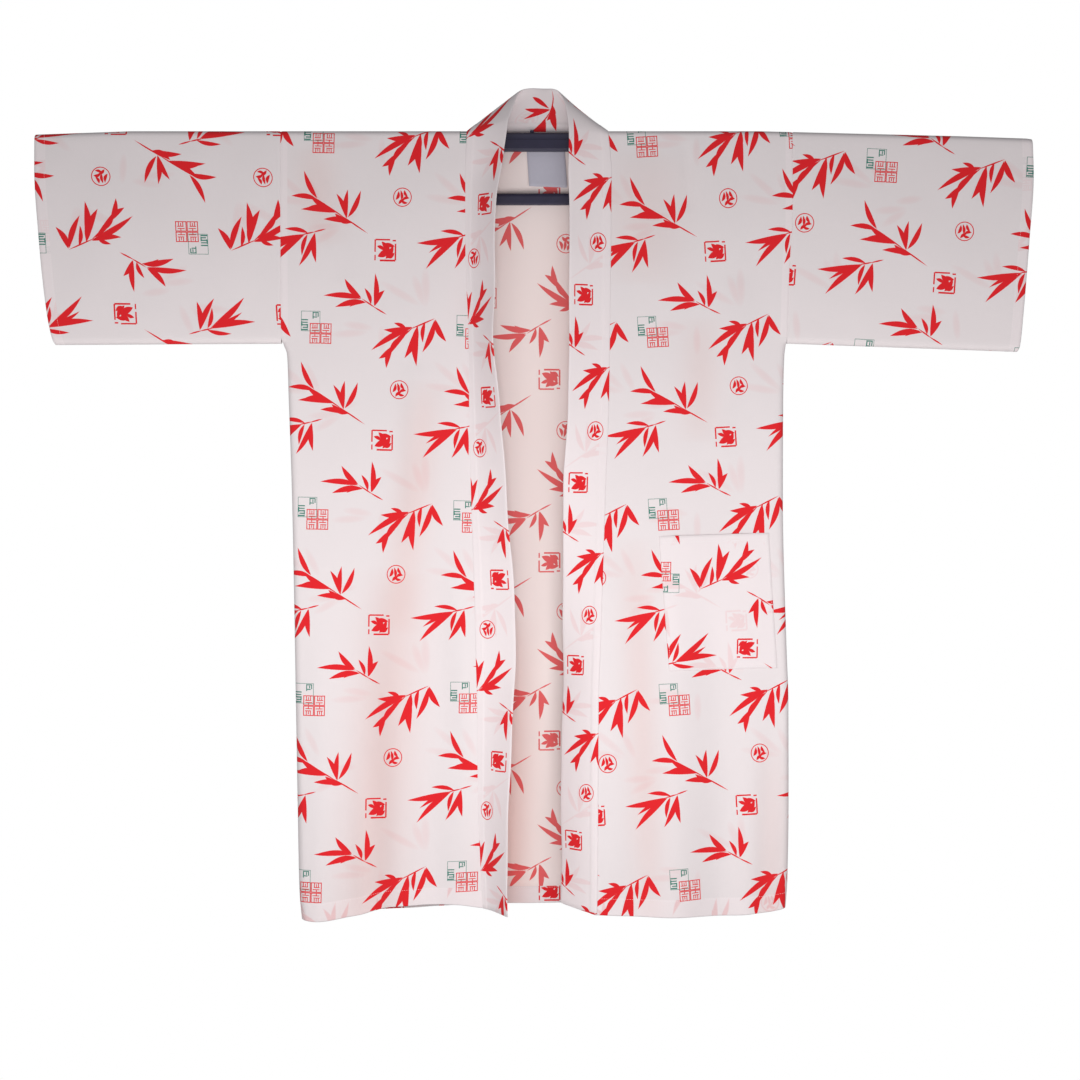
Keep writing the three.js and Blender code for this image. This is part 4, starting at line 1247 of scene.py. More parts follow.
class Wire:
    """A node's output, whose arithmetic adds Math or Vector Math nodes."""

    def __init__(self, tree: "Tree", socket: bpy.types.NodeSocket) -> None:
        """Wraps one output socket."""
        self.tree = tree
        self.socket = socket

    def other(self, name: str) -> "Wire":
        """Another output of the same node."""
        return Wire(self.tree, self.socket.node.outputs[name])

    def maths(self, operation: str, *values: object, clamp: bool = False) -> "Wire":
        """Adds one Math or Vector Math node on this value.

        Args:
            operation: The node's operation.
            values: Its other values, as numbers, tuples or wires.
            clamp: Whether a number's result is held between 0 and 1.

        Returns:
            The node's output.
        """
        if self.socket.type == "VECTOR":
            flat = [(value,) * 3 if isinstance(value, (int, float)) else value for value in values]
            inputs = dict(enumerate([self, *flat]))
            return self.tree.add("ShaderNodeVectorMath", {"operation": operation}, inputs)
        settings = {"operation": operation, "use_clamp": clamp}
        return self.tree.add("ShaderNodeMath", settings, dict(enumerate([self, *values])))

    def fused(self, factor: object, term: object, clamp: bool = False) -> "Wire":
        """This value times a factor, plus a term, in one node."""
        return self.maths("MULTIPLY_ADD", factor, term, clamp=clamp)

    def __add__(self, other: object) -> "Wire":
        """Sum."""
        return self.maths("ADD", other)

    def __sub__(self, other: object) -> "Wire":
        """Difference."""
        return self.maths("SUBTRACT", other)

    def __rsub__(self, other: object) -> "Wire":
        """Reflected difference."""
        return self.fused(-1.0, other)

    def __mul__(self, other: object) -> "Wire":
        """Product."""
        return self.maths("MULTIPLY", other)

    __radd__ = __add__
    __rmul__ = __mul__

    def __abs__(self) -> "Wire":
        """Size without its sign."""
        return self.maths("ABSOLUTE")

    def least(self, other: object) -> "Wire":
        """The smaller of two."""
        return self.maths("MINIMUM", other)

    def most(self, other: object) -> "Wire":
        """The larger of two."""
        return self.maths("MAXIMUM", other)


class Tree:
    """A node tree with one way of adding a node."""

    def __init__(self, tree: bpy.types.NodeTree) -> None:
        """Wraps a node tree."""
        self.tree = tree

    def add(
        self, kind: str, settings: dict | None = None, values: dict | None = None, output: int | str = 0
    ) -> Wire:
        """Adds a node.

        Args:
            kind: The node's type.
            settings: Its settings, which are set first.
            values: The values or wires of its inputs, by name or number.
            output: The output that is returned.

        Returns:
            One of the node's outputs.
        """
        node = self.tree.nodes.new(kind)
        for name, setting in (settings or {}).items():
            setattr(node, name, setting)
        for name, value in (values or {}).items():
            if isinstance(value, Wire):
                self.tree.links.new(value.socket, node.inputs[name])
            else:
                node.inputs[name].default_value = value
        return Wire(self, node.outputs[output])

    def give(self, **values: Wire) -> None:
        """Connects a group's outputs."""
        node = self.tree.nodes.new("NodeGroupOutput")
        for name, value in values.items():
            self.tree.links.new(value.socket, node.inputs[name])

    def vector(self, x: object, y: object, z: object) -> Wire:
        """A vector from its parts."""
        return self.add("ShaderNodeCombineXYZ", {}, {0: x, 1: y, 2: z})

    def blend(self, share: object, first: object, second: object) -> Wire:
        """A colour between two others."""
        return self.add("ShaderNodeMix", {"data_type": "RGBA"}, {0: share, 6: first, 7: second}, 2)

    def noise(self, at: object, scale: float, detail: float = 2.0, rough: float = 0.5) -> Wire:
        """Fractal noise from 0 to 1."""
        values = {"Vector": at, "Scale": scale, "Detail": detail, "Roughness": rough}
        return self.add("ShaderNodeTexNoise", {}, values)


@dataclass(frozen=True)
class Stroke:
    """A leaf or a stem: a tapering stroke from a root, with its middle line bent a little."""

    x: float
    y: float
    heading: float
    length: float
    breadth: float
    bend: float

    def run(self) -> tuple[float, float, float]:
        """The factors of x, y and 1 that give the share of the way along it."""
        c, s = math.cos(math.radians(self.heading)), math.sin(math.radians(self.heading))
        return c / self.length, s / self.length, -(self.x * c + self.y * s) / self.length

    def off(self) -> tuple[float, float, float]:
        """The factors of x, y and 1 that give the distance across it."""
        c, s = math.cos(math.radians(self.heading)), math.sin(math.radians(self.heading))
        return -s, c, self.x * s - self.y * c


@dataclass(frozen=True)
class Bar:
    """A short straight bar of a seal, by its middle and size."""

    x: float
    y: float
    wide: float
    tall: float


@dataclass(frozen=True)
class Fan:
    """Leaves that spread from one point of a stem."""

    at: float
    first: float
    step: float
    count: int
    length: float
    fade: float
    breadth: float


@dataclass(frozen=True)
class Spray:
    """A spray of leaves: a bent stem and its fans. Headings are degrees clockwise from the right."""

    root: tuple[float, float]
    heading: float
    bend: float
    length: float
    fans: tuple[Fan, ...]

    def stem(self, share: float) -> tuple[float, float]:
        """A point of the stem, from the spray's root."""
        steps = np.linspace(0, share, 13)
        angles = np.radians(self.heading + self.bend * (steps[:-1] + steps[1:]) / 2)
        run = self.length * share / 12
        return float(np.cos(angles).sum() * run), float(np.sin(angles).sum() * run)

    def strokes(self) -> list[Stroke]:
        """The spray's strokes, from its root."""
        made = []
        for start, end in ((0.0, 0.55), (0.45, 1.0)):
            (a, b), (c, d) = self.stem(start), self.stem(end)
            heading = math.degrees(math.atan2(d - b, c - a))
            made.append(Stroke(a, b, heading, math.dist((a, b), (c, d)) * STEM_LAP, STEM_BREADTH, 0.0))
        for fan in self.fans:
            x, y = self.stem(fan.at)
            for n in range(fan.count):
                heading = fan.first + fan.step * n
                gap = 1.2 + 0.8 * n
                c, s = math.cos(math.radians(heading)), math.sin(math.radians(heading))
                bend = LEAF_BEND * (-1) ** n
                length, breadth = fan.length * fan.fade**n, fan.breadth * LEAF_FULLNESS
                made.append(Stroke(x + gap * c, y + gap * s, heading, length, breadth, bend))
        return made


LEAF = (1.15, -1.5, 0.35)
LEAF_FULLNESS = 1.2
LEAF_BEND = 0.7
STEM_BREADTH = 1.9
STEM_LAP = 1.04
SPRAYS = (
    Spray((86.2, -26.5), 205, 10, 37, (
        Fan(1.0, 184, 42, 2, 50, 0.64, 6.2), Fan(0.8, 171, 0, 1, 41, 1, 6.6),
        Fan(0.5, 271, 31, 2, 40, 0.58, 6.0), Fan(0.62, 247, 0, 1, 22, 1, 4.4),
        Fan(0.9, 158, 0, 1, 20, 1, 3.8),
    )),
    Spray((60, 114.8), 212, 0, 78, (
        Fan(1.0, 187, 56, 2, 34, 1.16, 5.6), Fan(0.62, 184, 27, 2, 46, 0.9, 6.4),
        Fan(0.42, 246, 25, 3, 34, 1.05, 5.6), Fan(0.3, 187, 20, 2, 38, 0.66, 6.2),
        Fan(0.8, 172, 0, 1, 30, 1, 4.4),
    )),
    Spray((149.8, -23.6), 168, -42, 66, (
        Fan(0, 62, 48, 2, 31, 1.42, 6.4), Fan(0.36, 91, 20, 2, 52, 0.86, 8.0),
        Fan(0.46, 150, 23, 2, 62, 0.6, 6.6), Fan(0.6, 207, 0, 1, 19, 1, 4.4),
        Fan(1.0, 106, 30, 2, 30, 0.8, 5.8), Fan(0.75, 122, 0, 1, 30, 1, 5.2),
        Fan(0.2, 96, 0, 1, 26, 1, 4.6), Fan(0.55, 128, 0, 1, 46, 1, 5.6),
    )),
    Spray((4.5, 109.7), 163, 6, 32, (
        Fan(0.45, 87, 29, 2, 36, 1.22, 6.0), Fan(0.85, 139, 32, 2, 59, 0.96, 6.6),
        Fan(0.7, 189, 0, 1, 31, 1, 4.6), Fan(0.75, 105, 0, 1, 27, 1, 4.6), Fan(0.9, 153, 0, 1, 44, 1, 4.6),
    )),
)


@dataclass(frozen=True)
class BambooPrint:
    """The bamboo print as a node group: where there is red and where there is green."""

    round_seal: tuple[float, float] = (104.6, 68.9)
    square_seal: tuple[float, float] = (83.3, 134.5)
    green_seal: tuple[float, float] = (-13.3, -15.6)

    def group(self) -> bpy.types.NodeTree:
        """Builds the group, with the inputs Place and Softness and the outputs Red and Green."""
        inputs, outputs = {"Place": "Vector", "Softness": "Float"}, {"Red": "Float", "Green": "Float"}
        made = node_group("bamboo print", "ShaderNodeTree", inputs, outputs)
        tree = Tree(made)
        given = tree.add("NodeGroupInput")
        where = given * (1.0, 1.0, 0.0)
        red = None
        for spray in SPRAYS:
            own = self.motif(tree, where, spray.root)
            red = self.joined(red, self.strokes(tree, own, spray.strokes()))
        red = self.joined(red, self.round(tree, self.motif(tree, where, self.round_seal)))
        red = self.joined(red, self.square(tree, self.motif(tree, where, self.square_seal)))
        red = self.joined(red, self.lined(tree, self.motif(tree, where, (0.0, 0.0))))
        green = self.outlined(tree, self.motif(tree, where, self.green_seal))
        ragged = (tree.noise(where, 0.9, 1.0) - 0.5) * 0.5
        soft = tree.add("ShaderNodeMath", {"operation": "DIVIDE"}, {0: 1.0, 1: given.other("Softness")})
        red, green = ((form + ragged).fused(soft, 0.5, clamp=True) for form in (red, green))
        tree.give(Red=red, Green=green)
        return made

    def faint(self) -> bpy.types.NodeTree:
        """Builds a simpler group for what shines through single cloth: a few soft ovals for each spray."""
        made = node_group("bamboo seen through", "ShaderNodeTree", {"Place": "Vector"}, {"Red": "Float"})
        tree = Tree(made)
        where = tree.add("NodeGroupInput") * (1.0, 1.0, 0.0)
        red = None
        for spray in SPRAYS:
            x, y = self.parts(tree, self.motif(tree, where, spray.root))
            longest = sorted(spray.strokes(), key=lambda s: s.length * s.breadth)[-3:]
            runs, offs = (zip(*(scale(s) for s in longest)) for scale in (self.lengthwise, self.sideways))
            along, off = self.linear(x, y, *runs), self.linear(x, y, *offs)
            red = self.joined(red, self.best(tree, along.maths("MULTIPLY_ADD", along, off * off) * -1.0))
        tree.give(Red=red.fused(1.1, 1.1, clamp=True))
        return made

    @staticmethod
    def lengthwise(stroke: Stroke) -> tuple[float, ...]:
        """The factors of x, y and 1 that run from -1 to 1 along a stroke."""
        run = stroke.run()
        return 2 * run[0], 2 * run[1], 2 * run[2] - 1

    @staticmethod
    def sideways(stroke: Stroke) -> tuple[float, ...]:
        """The factors of x, y and 1 that run from -1 to 1 across a stroke and its blurred edge."""
        return tuple(part / (stroke.breadth / 2 + 2) for part in stroke.off())

    @staticmethod
    def joined(first: Wire | None, second: Wire) -> Wire:
        """Both forms together."""
        return second if first is None else first.most(second)

    @staticmethod
    def motif(tree: Tree, where: Wire, centre: tuple[float, float]) -> Wire:
        """Coordinates from a motif's middle, repeated with the print."""
        half = (REPEAT.wide / 2, REPEAT.tall / 2, 1.0)
        return (where - (*centre, 0.0)).maths("WRAP", half, tuple(-value for value in half))

    @staticmethod
    def parts(tree: Tree, own: Wire) -> tuple[Wire, Wire]:
        """The two coordinates, each three times over, so that three forms are worked out at once."""
        split = tree.add("ShaderNodeSeparateXYZ", {}, {0: own})
        x, y = split, split.other("Y")
        return tree.vector(x, x, x), tree.vector(y, y, y)

    @staticmethod
    def threes(items: Sequence) -> Iterator[tuple]:
        """The items three by three, the last one filling up."""
        padded = list(items) + [items[-1]] * (-len(items) % 3)
        for n in range(0, len(padded), 3):
            yield tuple(padded[n:n + 3])

    @staticmethod
    def best(tree: Tree, form: Wire) -> Wire:
        """The largest of a vector's three parts."""
        split = tree.add("ShaderNodeSeparateXYZ", {}, {0: form})
        return split.most(split.other("Y")).most(split.other("Z"))

    def strokes(self, tree: Tree, own: Wire, strokes: Sequence[Stroke]) -> Wire:
        """How far inside the nearest of some strokes a place is."""
        x, y = self.parts(tree, own)
        best = None
        for trio in self.threes(strokes):
            runs, offs = zip(*(s.run() for s in trio)), zip(*(s.off() for s in trio))
            along = self.linear(x, y, *runs).least(1.3)
            off = self.linear(x, y, *offs)
            full = tuple(2 * s.breadth for s in trio)
            first, second, third = (tuple(factor * f for f in full) for factor in LEAF)
            half = along.fused(along.fused(along.fused(third, second), first), (0.0,) * 3)
            centre = half.fused(tuple(-s.bend for s in trio), off)
            form = half - abs(centre)
            best = form if best is None else best.most(form)
        return self.best(tree, best)

    @staticmethod
    def linear(x: Wire, y: Wire, by_x: tuple, by_y: tuple, rest: tuple) -> Wire:
        """Three linear forms of the two coordinates."""
        return x.fused(by_x, y.fused(by_y, rest))

    def bars(self, tree: Tree, own: Wire, bars: Sequence[Bar]) -> Wire:
        """How far inside the nearest of some bars a place is."""
        x, y = self.parts(tree, own)
        best = None
        for trio in self.threes(bars):
            inside_x = abs(x - tuple(b.x for b in trio)).fused((-1.0,) * 3, tuple(b.wide / 2 for b in trio))
            inside_y = abs(y - tuple(b.y for b in trio)).fused((-1.0,) * 3, tuple(b.tall / 2 for b in trio))
            form = inside_x.least(inside_y)
            best = form if best is None else best.most(form)
        return self.best(tree, best)

    @staticmethod
    def frame(tree: Tree, own: Wire, half: tuple[float, float], line: float) -> Wire:
        """The outline of a rectangle round the middle."""
        split = tree.add("ShaderNodeSeparateXYZ", {}, {0: abs(own) - (*half, 0.0)})
        return line / 2 - abs(split.most(split.other("Y")))

    def round(self, tree: Tree, own: Wire) -> Wire:
        """A round seal: a ring with leaf strokes in it."""
        length = tree.add("ShaderNodeVectorMath", {"operation": "LENGTH"}, {0: own}, "Value")
        ring = 0.6 - abs(length - 11.6)
        inside = self.strokes(tree, own, [
            Stroke(-8.8, 3.4, -72, 12, 4.2, 0.8), Stroke(-5.0, 9.0, -38, 11, 4.0, -0.6),
            Stroke(-1.2, 4.0, -96, 13, 3.8, 0.6), Stroke(2.4, -9.0, 62, 10, 3.8, 0.7),
            Stroke(9.2, 1.2, 166, 10, 4.0, 0.8), Stroke(7.0, 7.2, 199, 10, 3.6, -0.7),
        ])
        return ring.most(inside)

    def square(self, tree: Tree, own: Wire) -> Wire:
        """A square seal: a broken frame with bold strokes in it."""
        frame = self.bars(tree, own, [
            Bar(-3.4, -12.4, 19, 1.9), Bar(13.3, 2.4, 2.0, 20), Bar(3.0, 12.5, 20, 2.2),
            Bar(-13.4, -5.0, 1.9, 15), Bar(-13.3, 9.2, 1.7, 6.5), Bar(11.6, -11.4, 4.4, 1.9),
        ])
        inside = self.strokes(tree, own, [
            Stroke(-10, 8.0, -38, 20, 8.5, 0.5), Stroke(-5, -10, 58, 20, 7.0, -0.5),
            Stroke(0.5, 10.5, -58, 19, 6.6, 0.4), Stroke(1, -8.5, 20, 12, 5.0, 0.4),
            Stroke(-11, -4.5, 26, 12, 4.6, -0.4), Stroke(3, 9.5, -34, 11, 5.0, 0.3),
        ])
        return frame.most(inside)

    def lined(self, tree: Tree, own: Wire) -> Wire:
        """A seal of fine lines: four framed cells that mirror each other, with a lattice in them."""
        quarter = abs(own) - (7.2, 6.6, 0.0)
        edge = self.frame(tree, quarter, (6.5, 5.9), 1.15)
        inside = self.bars(tree, quarter, [
            Bar(-0.3, -2.7, 9.0, 1.1), Bar(0.6, 0.1, 8.0, 1.1), Bar(-2.5, 3.0, 1.1, 4.8),
            Bar(0.2, 2.6, 1.1, 3.6), Bar(2.9, 3.0, 1.1, 4.8), Bar(0.2, -4.4, 1.1, 2.6),
        ])
        return edge.most(inside)

    def outlined(self, tree: Tree, own: Wire) -> Wire:
        """A thin square outline with two small blocks of short bars in it."""
        edge = self.frame(tree, own, (12.2, 12.6), 0.6)
        inside = self.bars(tree, own, [
            Bar(-7.8, -1.6, 8.8, 1.5), Bar(-7.2, 1.7, 7.0, 1.4), Bar(-8.2, 4.9, 8.6, 1.6),
            Bar(-7.0, 8.1, 6.6, 1.5), Bar(-7.8, 11.0, 8.8, 1.7), Bar(-11.4, 3.2, 1.5, 6.0),
            Bar(-4.0, 6.6, 1.4, 5.6), Bar(3.2, -7.4, 1.3, 8.8), Bar(6.6, -11.0, 7.4, 1.3),
            Bar(9.8, -8.4, 1.3, 5.8), Bar(5.8, -5.2, 5.4, 1.3), Bar(7.0, -8.2, 1.3, 3.6),
        ])
        return edge.most(inside)


# ---- Sewing


@dataclass
class Stitching:
    """Rows of short stitches, one every few millimetres along lines on the cloth."""

    pitch: float = 3.0
    stitch: float = 2.2
    thread: float = 0.32
    group: bpy.types.NodeTree = field(init=False)

    def __post_init__(self) -> None:
        """Builds the node group, whose inputs are the stitches' sizes in metres."""
        sizes = dict.fromkeys(("Pitch", "Stitch", "Thread"), "Float")
        inputs = {"Geometry": "Geometry", **sizes, "Material": "Material"}
        self.group = node_group("stitches", "GeometryNodeTree", inputs, {"Geometry": "Geometry"})
        tree = Tree(self.group)
        given = tree.add("NodeGroupInput")
        curve = tree.add("GeometryNodeMeshToCurve", {}, {"Mesh": given})
        spots = {"Curve": curve, "Length": given.other("Pitch")}
        points = tree.add("GeometryNodeResampleCurve", {"mode": "LENGTH"}, spots)
        bead = tree.add("GeometryNodeMeshUVSphere", {}, {"Segments": 6, "Rings": 4, "Radius": 0.5})
        along = tree.add("GeometryNodeInputTangent")
        out = tree.add("GeometryNodeInputNamedAttribute", {"data_type": "FLOAT_VECTOR"}, {"Name": "out"})
        axes = {"primary_axis": "Z", "secondary_axis": "X"}
        turn = tree.add("FunctionNodeAxesToRotation", axes, {"Primary Axis": along, "Secondary Axis": out})
        size = tree.vector(given.other("Thread"), given.other("Thread"), given.other("Stitch"))
        placing = {"Points": points, "Instance": bead, "Rotation": turn, "Scale": size}
        placed = tree.add("GeometryNodeInstanceOnPoints", {}, placing)
        solid = tree.add("GeometryNodeRealizeInstances", {}, {"Geometry": placed})
        finish = {"Geometry": solid, "Material": given.other("Material")}
        done = tree.add("GeometryNodeSetMaterial", {}, finish)
        tree.give(Geometry=done)

    def sew(
        self, name: str, lines: Sequence[tuple[np.ndarray, np.ndarray]], thread: bpy.types.Material
    ) -> bpy.types.Object:
        """Makes the stitches along some lines.

        Args:
            name: The object's name.
            lines: The lines' points and outward directions, in millimetres.
            thread: The thread's material.

        Returns:
            The finished object.
        """
        points = np.concatenate([line + out * self.thread * 0.25 for line, out in lines])
        starts = np.cumsum([0, *(len(line) for line, _ in lines)])
        edges = [(n, n + 1) for a, b in zip(starts, starts[1:]) for n in range(a, b - 1)]
        mesh = bpy.data.meshes.new(name)
        mesh.from_pydata((points * MM).tolist(), edges, [])
        outward = np.concatenate([out for _, out in lines]).astype(np.float32)
        mesh.attributes.new("out", "FLOAT_VECTOR", "POINT").data.foreach_set("vector", outward.ravel())
        made = in_scene(name, mesh)
        modifier = made.modifiers.new("stitches", "NODES")
        modifier.node_group = self.group
        sizes = {"Pitch": self.pitch * MM, "Stitch": self.stitch * MM, "Thread": self.thread * MM}
        for socket in self.group.interface.items_tree:
            if socket.in_out == "INPUT" and socket.name in (*sizes, "Material"):
                modifier[socket.identifier] = sizes.get(socket.name, thread)
        solid = bpy.data.meshes.new_from_object(made.evaluated_get(bpy.context.evaluated_depsgraph_get()))
        made.modifiers.remove(modifier)
        made.data = solid
        return made


# ---- Finishes


def settle(shader: bpy.types.Node, **plain: float | tuple[float, ...]) -> None:
    """Sets plain inputs of a shader, whose names are given with low lines for spaces."""
    for name, value in plain.items():
        shader.inputs[name.replace("_", " ")].default_value = value


def wire_up(tree: Tree, shader: bpy.types.Node, colour: Wire, **relief: Wire | float) -> None:
    """Connects a shader's base colour, and a bump of some height, distance and strength."""
    bump = tree.add("ShaderNodeBump", {}, relief, "Normal")
    tree.tree.links.new(colour.socket, shader.inputs["Base Color"])
    tree.tree.links.new(bump.socket, shader.inputs["Normal"])


def material(name: str) -> tuple[bpy.types.Material, Tree, bpy.types.Node]:
    """A new material, its tree and its shader."""
    made = bpy.data.materials.new(name)
    made.use_nodes = True
    return made, Tree(made.node_tree), made.node_tree.nodes["Principled BSDF"]


@dataclass(frozen=True)
class PrintedCotton:
    """Plain-woven white cotton with the print."""

    single_cloth: tuple[float, ...] = (0.80, 0.735, 0.742)
    # The wrong side's own cream colour, brightened as painted light that shines through the thin cloth from
    # behind.
    wrong_side_and_painted_light: tuple[float, ...] = (0.90, 0.79, 0.768)
    doubled_cloth: tuple[float, ...] = (0.84, 0.762, 0.772)
    # The colour that painted fold shade multiplies the cloth's colour by.
    fold_shade_tint: tuple[float, ...] = (0.94, 0.77, 0.735)
    red: tuple[float, ...] = (0.74, 0.016, 0.022)
    green: tuple[float, ...] = (0.045, 0.215, 0.165)
    print_edge: float = 0.4
    ghost_edge: float = 1.8
    yarn: float = 0.55

    def material(self, prints: dict[str, bpy.types.NodeTree], doubled: bool) -> bpy.types.Material:
        """Builds the material round the print's node groups.

        Args:
            prints: The sharp print, and the faint one that shines through single cloth.
            doubled: For cloth that lies on cloth, which is whiter and shows the layer beneath more clearly.

        Returns:
            The material.
        """
        made, tree, shader = material("doubled cotton" if doubled else "printed cotton")
        cloth = self.doubled_cloth if doubled else self.single_cloth
        cut = tree.add("ShaderNodeAttribute", {"attribute_name": "cut"}, {}, "Vector")
        under = tree.add("ShaderNodeAttribute", {"attribute_name": "under"}, {}, "Vector")
        ghost = tree.add("ShaderNodeSeparateXYZ", {}, {0: under}, "Z")
        split = tree.add("ShaderNodeSeparateXYZ", {}, {0: cut})
        strength = split.other("Z")
        slub = tree.noise(cut * (0.05, 1.4, 0.0), 1.0, 1.0) + tree.noise(cut * (1.4, 0.05, 0.0), 1.0, 1.0)
        shade = tree.blend(slub * 0.5, (*(0.965 * c for c in cloth), 1), (*cloth, 1))
        if not doubled:
            # Painted light: the wrong side turns to a brighter colour, as if lit through the cloth.
            wrong_side = (1 - strength) * (1 / (1 - WRONG_SIDE))
            shade = tree.blend(wrong_side, shade, (*self.wrong_side_and_painted_light, 1))
        # Painted shade: along the folds the cloth's colour is multiplied towards a darker, warmer one.
        painted_fold_shade = tree.add("ShaderNodeAttribute", {"attribute_name": "painted_fold_shade"}, {}, "Fac")
        tint = {0: painted_fold_shade, 6: shade, 7: (*self.fold_shade_tint, 1)}
        shade = tree.add("ShaderNodeMix", {"data_type": "RGBA", "blend_type": "MULTIPLY"}, tint, 2)
        if doubled:
            beneath = self.printed(tree, prints["sharp"], under, self.ghost_edge)
            shade = tree.blend(beneath * ghost, shade, (*self.red, 1))
            shade = tree.blend(beneath.other("Green") * ghost, shade, (*self.green, 1))
        else:
            beneath = tree.add("ShaderNodeGroup", {"node_tree": prints["faint"]}, {"Place": under})
            shade = tree.blend(beneath * ghost, shade, (*self.red, 1))
        own = self.printed(tree, prints["sharp"], cut, self.print_edge)
        shade = tree.blend(own * strength, shade, (*self.red, 1))
        shade = tree.blend(own.other("Green") * strength, shade, (*self.green, 1))
        wave = 2 * math.pi / self.yarn
        weave = (split * wave).maths("SINE") * (split.other("Y") * wave).maths("SINE")
        wire_up(tree, shader, shade, Height=weave * 0.5 + slub * 0.6, Distance=0.00006, Strength=0.5)
        settle(shader, Roughness=0.88, Specular_IOR_Level=0.2, Sheen_Weight=0.08, Sheen_Roughness=0.5)
        return made

    @staticmethod
    def printed(tree: Tree, bamboo: bpy.types.NodeTree, at: Wire, softness: float) -> Wire:
        """The print's group at some coordinates: its red, and its green as the other output."""
        return tree.add("ShaderNodeGroup", {"node_tree": bamboo}, {"Place": at, "Softness": softness}, "Red")


@dataclass(frozen=True)
class Thread:
    """White sewing thread."""

    cotton: tuple[float, ...] = (0.86, 0.84, 0.84, 1)

    def material(self) -> bpy.types.Material:
        """Builds the material."""
        made, _, shader = material("thread")
        settle(shader, Base_Color=self.cotton, Roughness=0.6)
        return made


@dataclass(frozen=True)
class LabelTape:
    """Smooth woven tape with fine ribs."""

    tape: tuple[float, ...] = (0.50, 0.485, 0.565, 1)

    def material(self) -> bpy.types.Material:
        """Builds the material."""
        made, tree, shader = material("label tape")
        cut = tree.add("ShaderNodeAttribute", {"attribute_name": "cut"}, {}, "Vector")
        split = tree.add("ShaderNodeSeparateXYZ", {}, {0: cut})
        rib = (split.other("Y") * (2 * math.pi / 0.8)).maths("SINE")
        cloud = tree.noise(cut, 0.2)
        shade = tree.blend(cloud, tuple(0.94 * c for c in self.tape[:3]) + (1,), self.tape)
        wire_up(tree, shader, shade, Height=rib, Distance=0.00008, Strength=0.5)
        settle(shader, Roughness=0.55)
        return made


@dataclass(frozen=True)
class NavyPlastic:
    """Dark navy moulded plastic with a fine grain."""

    plastic: tuple[float, ...] = (0.018, 0.015, 0.042, 1)

    def material(self) -> bpy.types.Material:
        """Builds the material."""
        made, tree, shader = material("navy plastic")
        at = tree.add("ShaderNodeTexCoord", {}, {}, "Object")
        cloud = tree.noise(at, 60)
        low, high = ((*(factor * c for c in self.plastic[:3]), 1) for factor in (0.8, 1.25))
        shade = tree.blend(cloud, low, high)
        wire_up(tree, shader, shade, Height=tree.noise(at, 1800, 3.0), Distance=0.00005, Strength=0.4)
        tree.tree.links.new((cloud * 0.12 + 0.36).socket, shader.inputs["Roughness"])
        return made


# ---- The studio


@dataclass(frozen=True)
class LightPanel:
    """A soft rectangular light: where it stands, what it points at, its size and its power in watts."""

    name: str
    spot: tuple[float, float, float]
    aim: tuple[float, float, float]
    size: tuple[float, float]
    power: float
    colour: tuple[float, float, float]


@dataclass
class Studio:
    """The camera, the floor and the lights."""

    panels: tuple[LightPanel, ...] = (
        LightPanel("wide front", (0.0, -0.85, -0.63), (0.0, 0, -0.63), (2.2, 0.4), 8.7, (1, 0.985, 0.98)),
        LightPanel("far front", (0.0, -2.2, -0.75), (0, 0, -0.75), (0.5, 0.5), 9.0, (1, 0.985, 0.98)),
        LightPanel("behind", (0.3, 2.0, -0.5), (0, 0, -0.55), (1.6, 1.0), 16, (1, 0.99, 0.985)),
    )
    away: float = 3.0
    eye: tuple[float, float] = (0.0102, -0.522)
    width: float = 1.377
    sensor: float = 36.0
    floor: float = -1.45

    def camera(self) -> None:
        """A level camera that looks straight ahead."""
        data = bpy.data.cameras.new("camera")
        data.sensor_width = self.sensor
        data.lens = self.sensor * self.away / self.width
        made = in_scene("camera", data)
        made.location = (self.eye[0], -self.away, self.eye[1])
        made.rotation_euler = (math.pi / 2, 0, 0)
        bpy.context.scene.camera = made

    def floor_plane(self) -> None:
        """A plain pale floor below the garment."""
        mesh = bpy.data.meshes.new("floor")
        spots = [(-1.5, -1.4), (1.5, -1.4), (1.5, 1.0), (-1.5, 1.0)]
        mesh.from_pydata([(x, y, self.floor) for x, y in spots], [], [(0, 1, 2, 3)])
        made, _, shader = material("pale floor")
        settle(shader, Base_Color=(0.8, 0.8, 0.8, 1), Roughness=0.9)
        mesh.materials.append(made)
        in_scene("floor", mesh)

    def world(self) -> None:
        """A white surrounding, whose light is weaker than it looks."""
        world = bpy.data.worlds.new("studio")
        world.use_nodes = True
        world.node_tree.nodes.clear()
        tree = Tree(world.node_tree)
        seen = tree.add("ShaderNodeBackground", {}, {"Color": (1, 1, 1, 1), "Strength": 1.0})
        lit = tree.add("ShaderNodeBackground", {}, {"Color": (0.95, 0.975, 1, 1), "Strength": 0.27})
        ray = tree.add("ShaderNodeLightPath", {}, {}, "Is Camera Ray")
        both = tree.add("ShaderNodeMixShader", {}, {0: ray, 1: lit, 2: seen})
        output = world.node_tree.nodes.new("ShaderNodeOutputWorld")
        world.node_tree.links.new(both.socket, output.inputs["Surface"])
        bpy.context.scene.world = world
        bpy.context.scene.view_settings.view_transform = "Standard"

    @staticmethod
    def light(panel: LightPanel) -> None:
        """Adds one soft light."""
        data = bpy.data.lights.new(panel.name, "AREA")
        data.shape = "RECTANGLE"
        data.size, data.size_y = panel.size
        data.energy = panel.power
        data.color = panel.colour
        made = in_scene(panel.name, data)
        made.location = panel.spot
        made.rotation_euler = Vector(np.subtract(panel.aim, panel.spot)).to_track_quat("-Z", "Y").to_euler()

    def build(self) -> None:
        """Makes all of it."""
        self.camera()
        self.floor_plane()
        self.world()
        for panel in self.panels:
            self.light(panel)


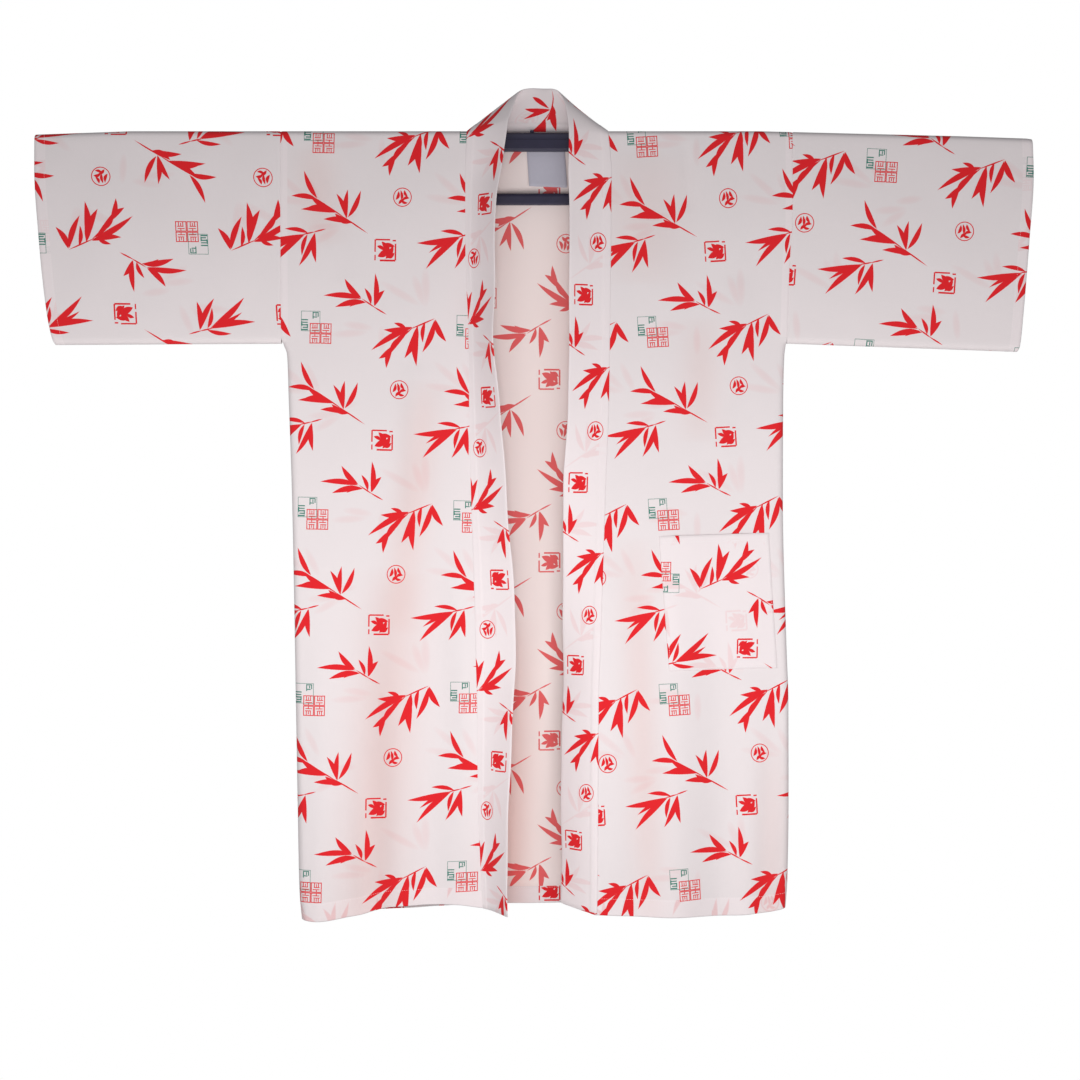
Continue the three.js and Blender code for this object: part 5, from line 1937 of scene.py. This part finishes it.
@dataclass
class Piece:
    """A piece of the garment: what makes it, its flat size in metres, what carries it, and its stitches."""

    maker: "Front | Back | Sleeve | Collar | Pocket | Label"
    flat: tuple[float, float]
    rests_on: tuple[str, ...]
    seams: Callable[[Shell], list[tuple[np.ndarray, np.ndarray]]] | None = None


def pieces() -> list[Piece]:
    """The garment's pieces, in the order in which one rests on another."""
    back, right, left = Back(), Front(side=Side.RIGHT), Front(side=Side.LEFT)
    right_sleeve, left_sleeve, pocket = Sleeve(Side.RIGHT), Sleeve(Side.LEFT), Pocket()
    return [
        Piece(back, (0.65, 1.0), ("upper_bar",), back.hem_seams),
        Piece(right, (0.236, 1.0), ("upper_bar",), right.hem_seams),
        Piece(left, (0.238, 1.0), ("upper_bar",), left.hem_seams),
        Piece(right_sleeve, (0.308, 0.545), ("upper_bar",), right_sleeve.seams),
        Piece(left_sleeve, (0.306, 0.555), ("upper_bar",), left_sleeve.seams),
        Piece(Collar(), (0.055, 2.16), ("front_right", "front_left")),
        Piece(pocket, (0.138, 0.17), ("front_left",), pocket.seams),
        Piece(Label(), (0.048, 0.066), ("back",)),
    ]


def main() -> None:
    """Builds everything in order."""
    logging.basicConfig(level=logging.INFO, format="%(message)s")
    Studio().build()
    bamboo = BambooPrint()
    prints = {"sharp": bamboo.group(), "faint": bamboo.faint()}
    cotton = [PrintedCotton().material(prints, doubled) for doubled in (False, True)]
    tape = [LabelTape().material()] * 2
    thread = Thread().material()
    plastic = NavyPlastic().material()
    stitching = Stitching()
    made = {}
    for piece in pieces():
        shell = piece.maker.shell()
        name = shell.name
        cloth = shell.build(*(tape if name == "label" else cotton))
        made[name] = cloth
        if piece.seams is not None:
            stitches = stitching.sew(f"{name}_stitches", piece.seams(shell), thread)
            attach(stitches, "root")
            log.info("%s: %d faces", stitches.name, len(stitches.data.polygons))
        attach(cloth, "root")
        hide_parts(name)
        rests = [made.get(carrier, carrier) for carrier in piece.rests_on]
        log.info("%s: %d faces", cloth.name, len(cloth.data.polygons))
    for name in ("upper_bar", "lower_bar", "upright_right", "upright_left", "hook_socket"):
        node = frame["nodes"][name]
        node.data.materials.clear()
        node.data.materials.append(plastic)
        log.info("%s: finished", name)


if __name__ == "__main__":
    main()
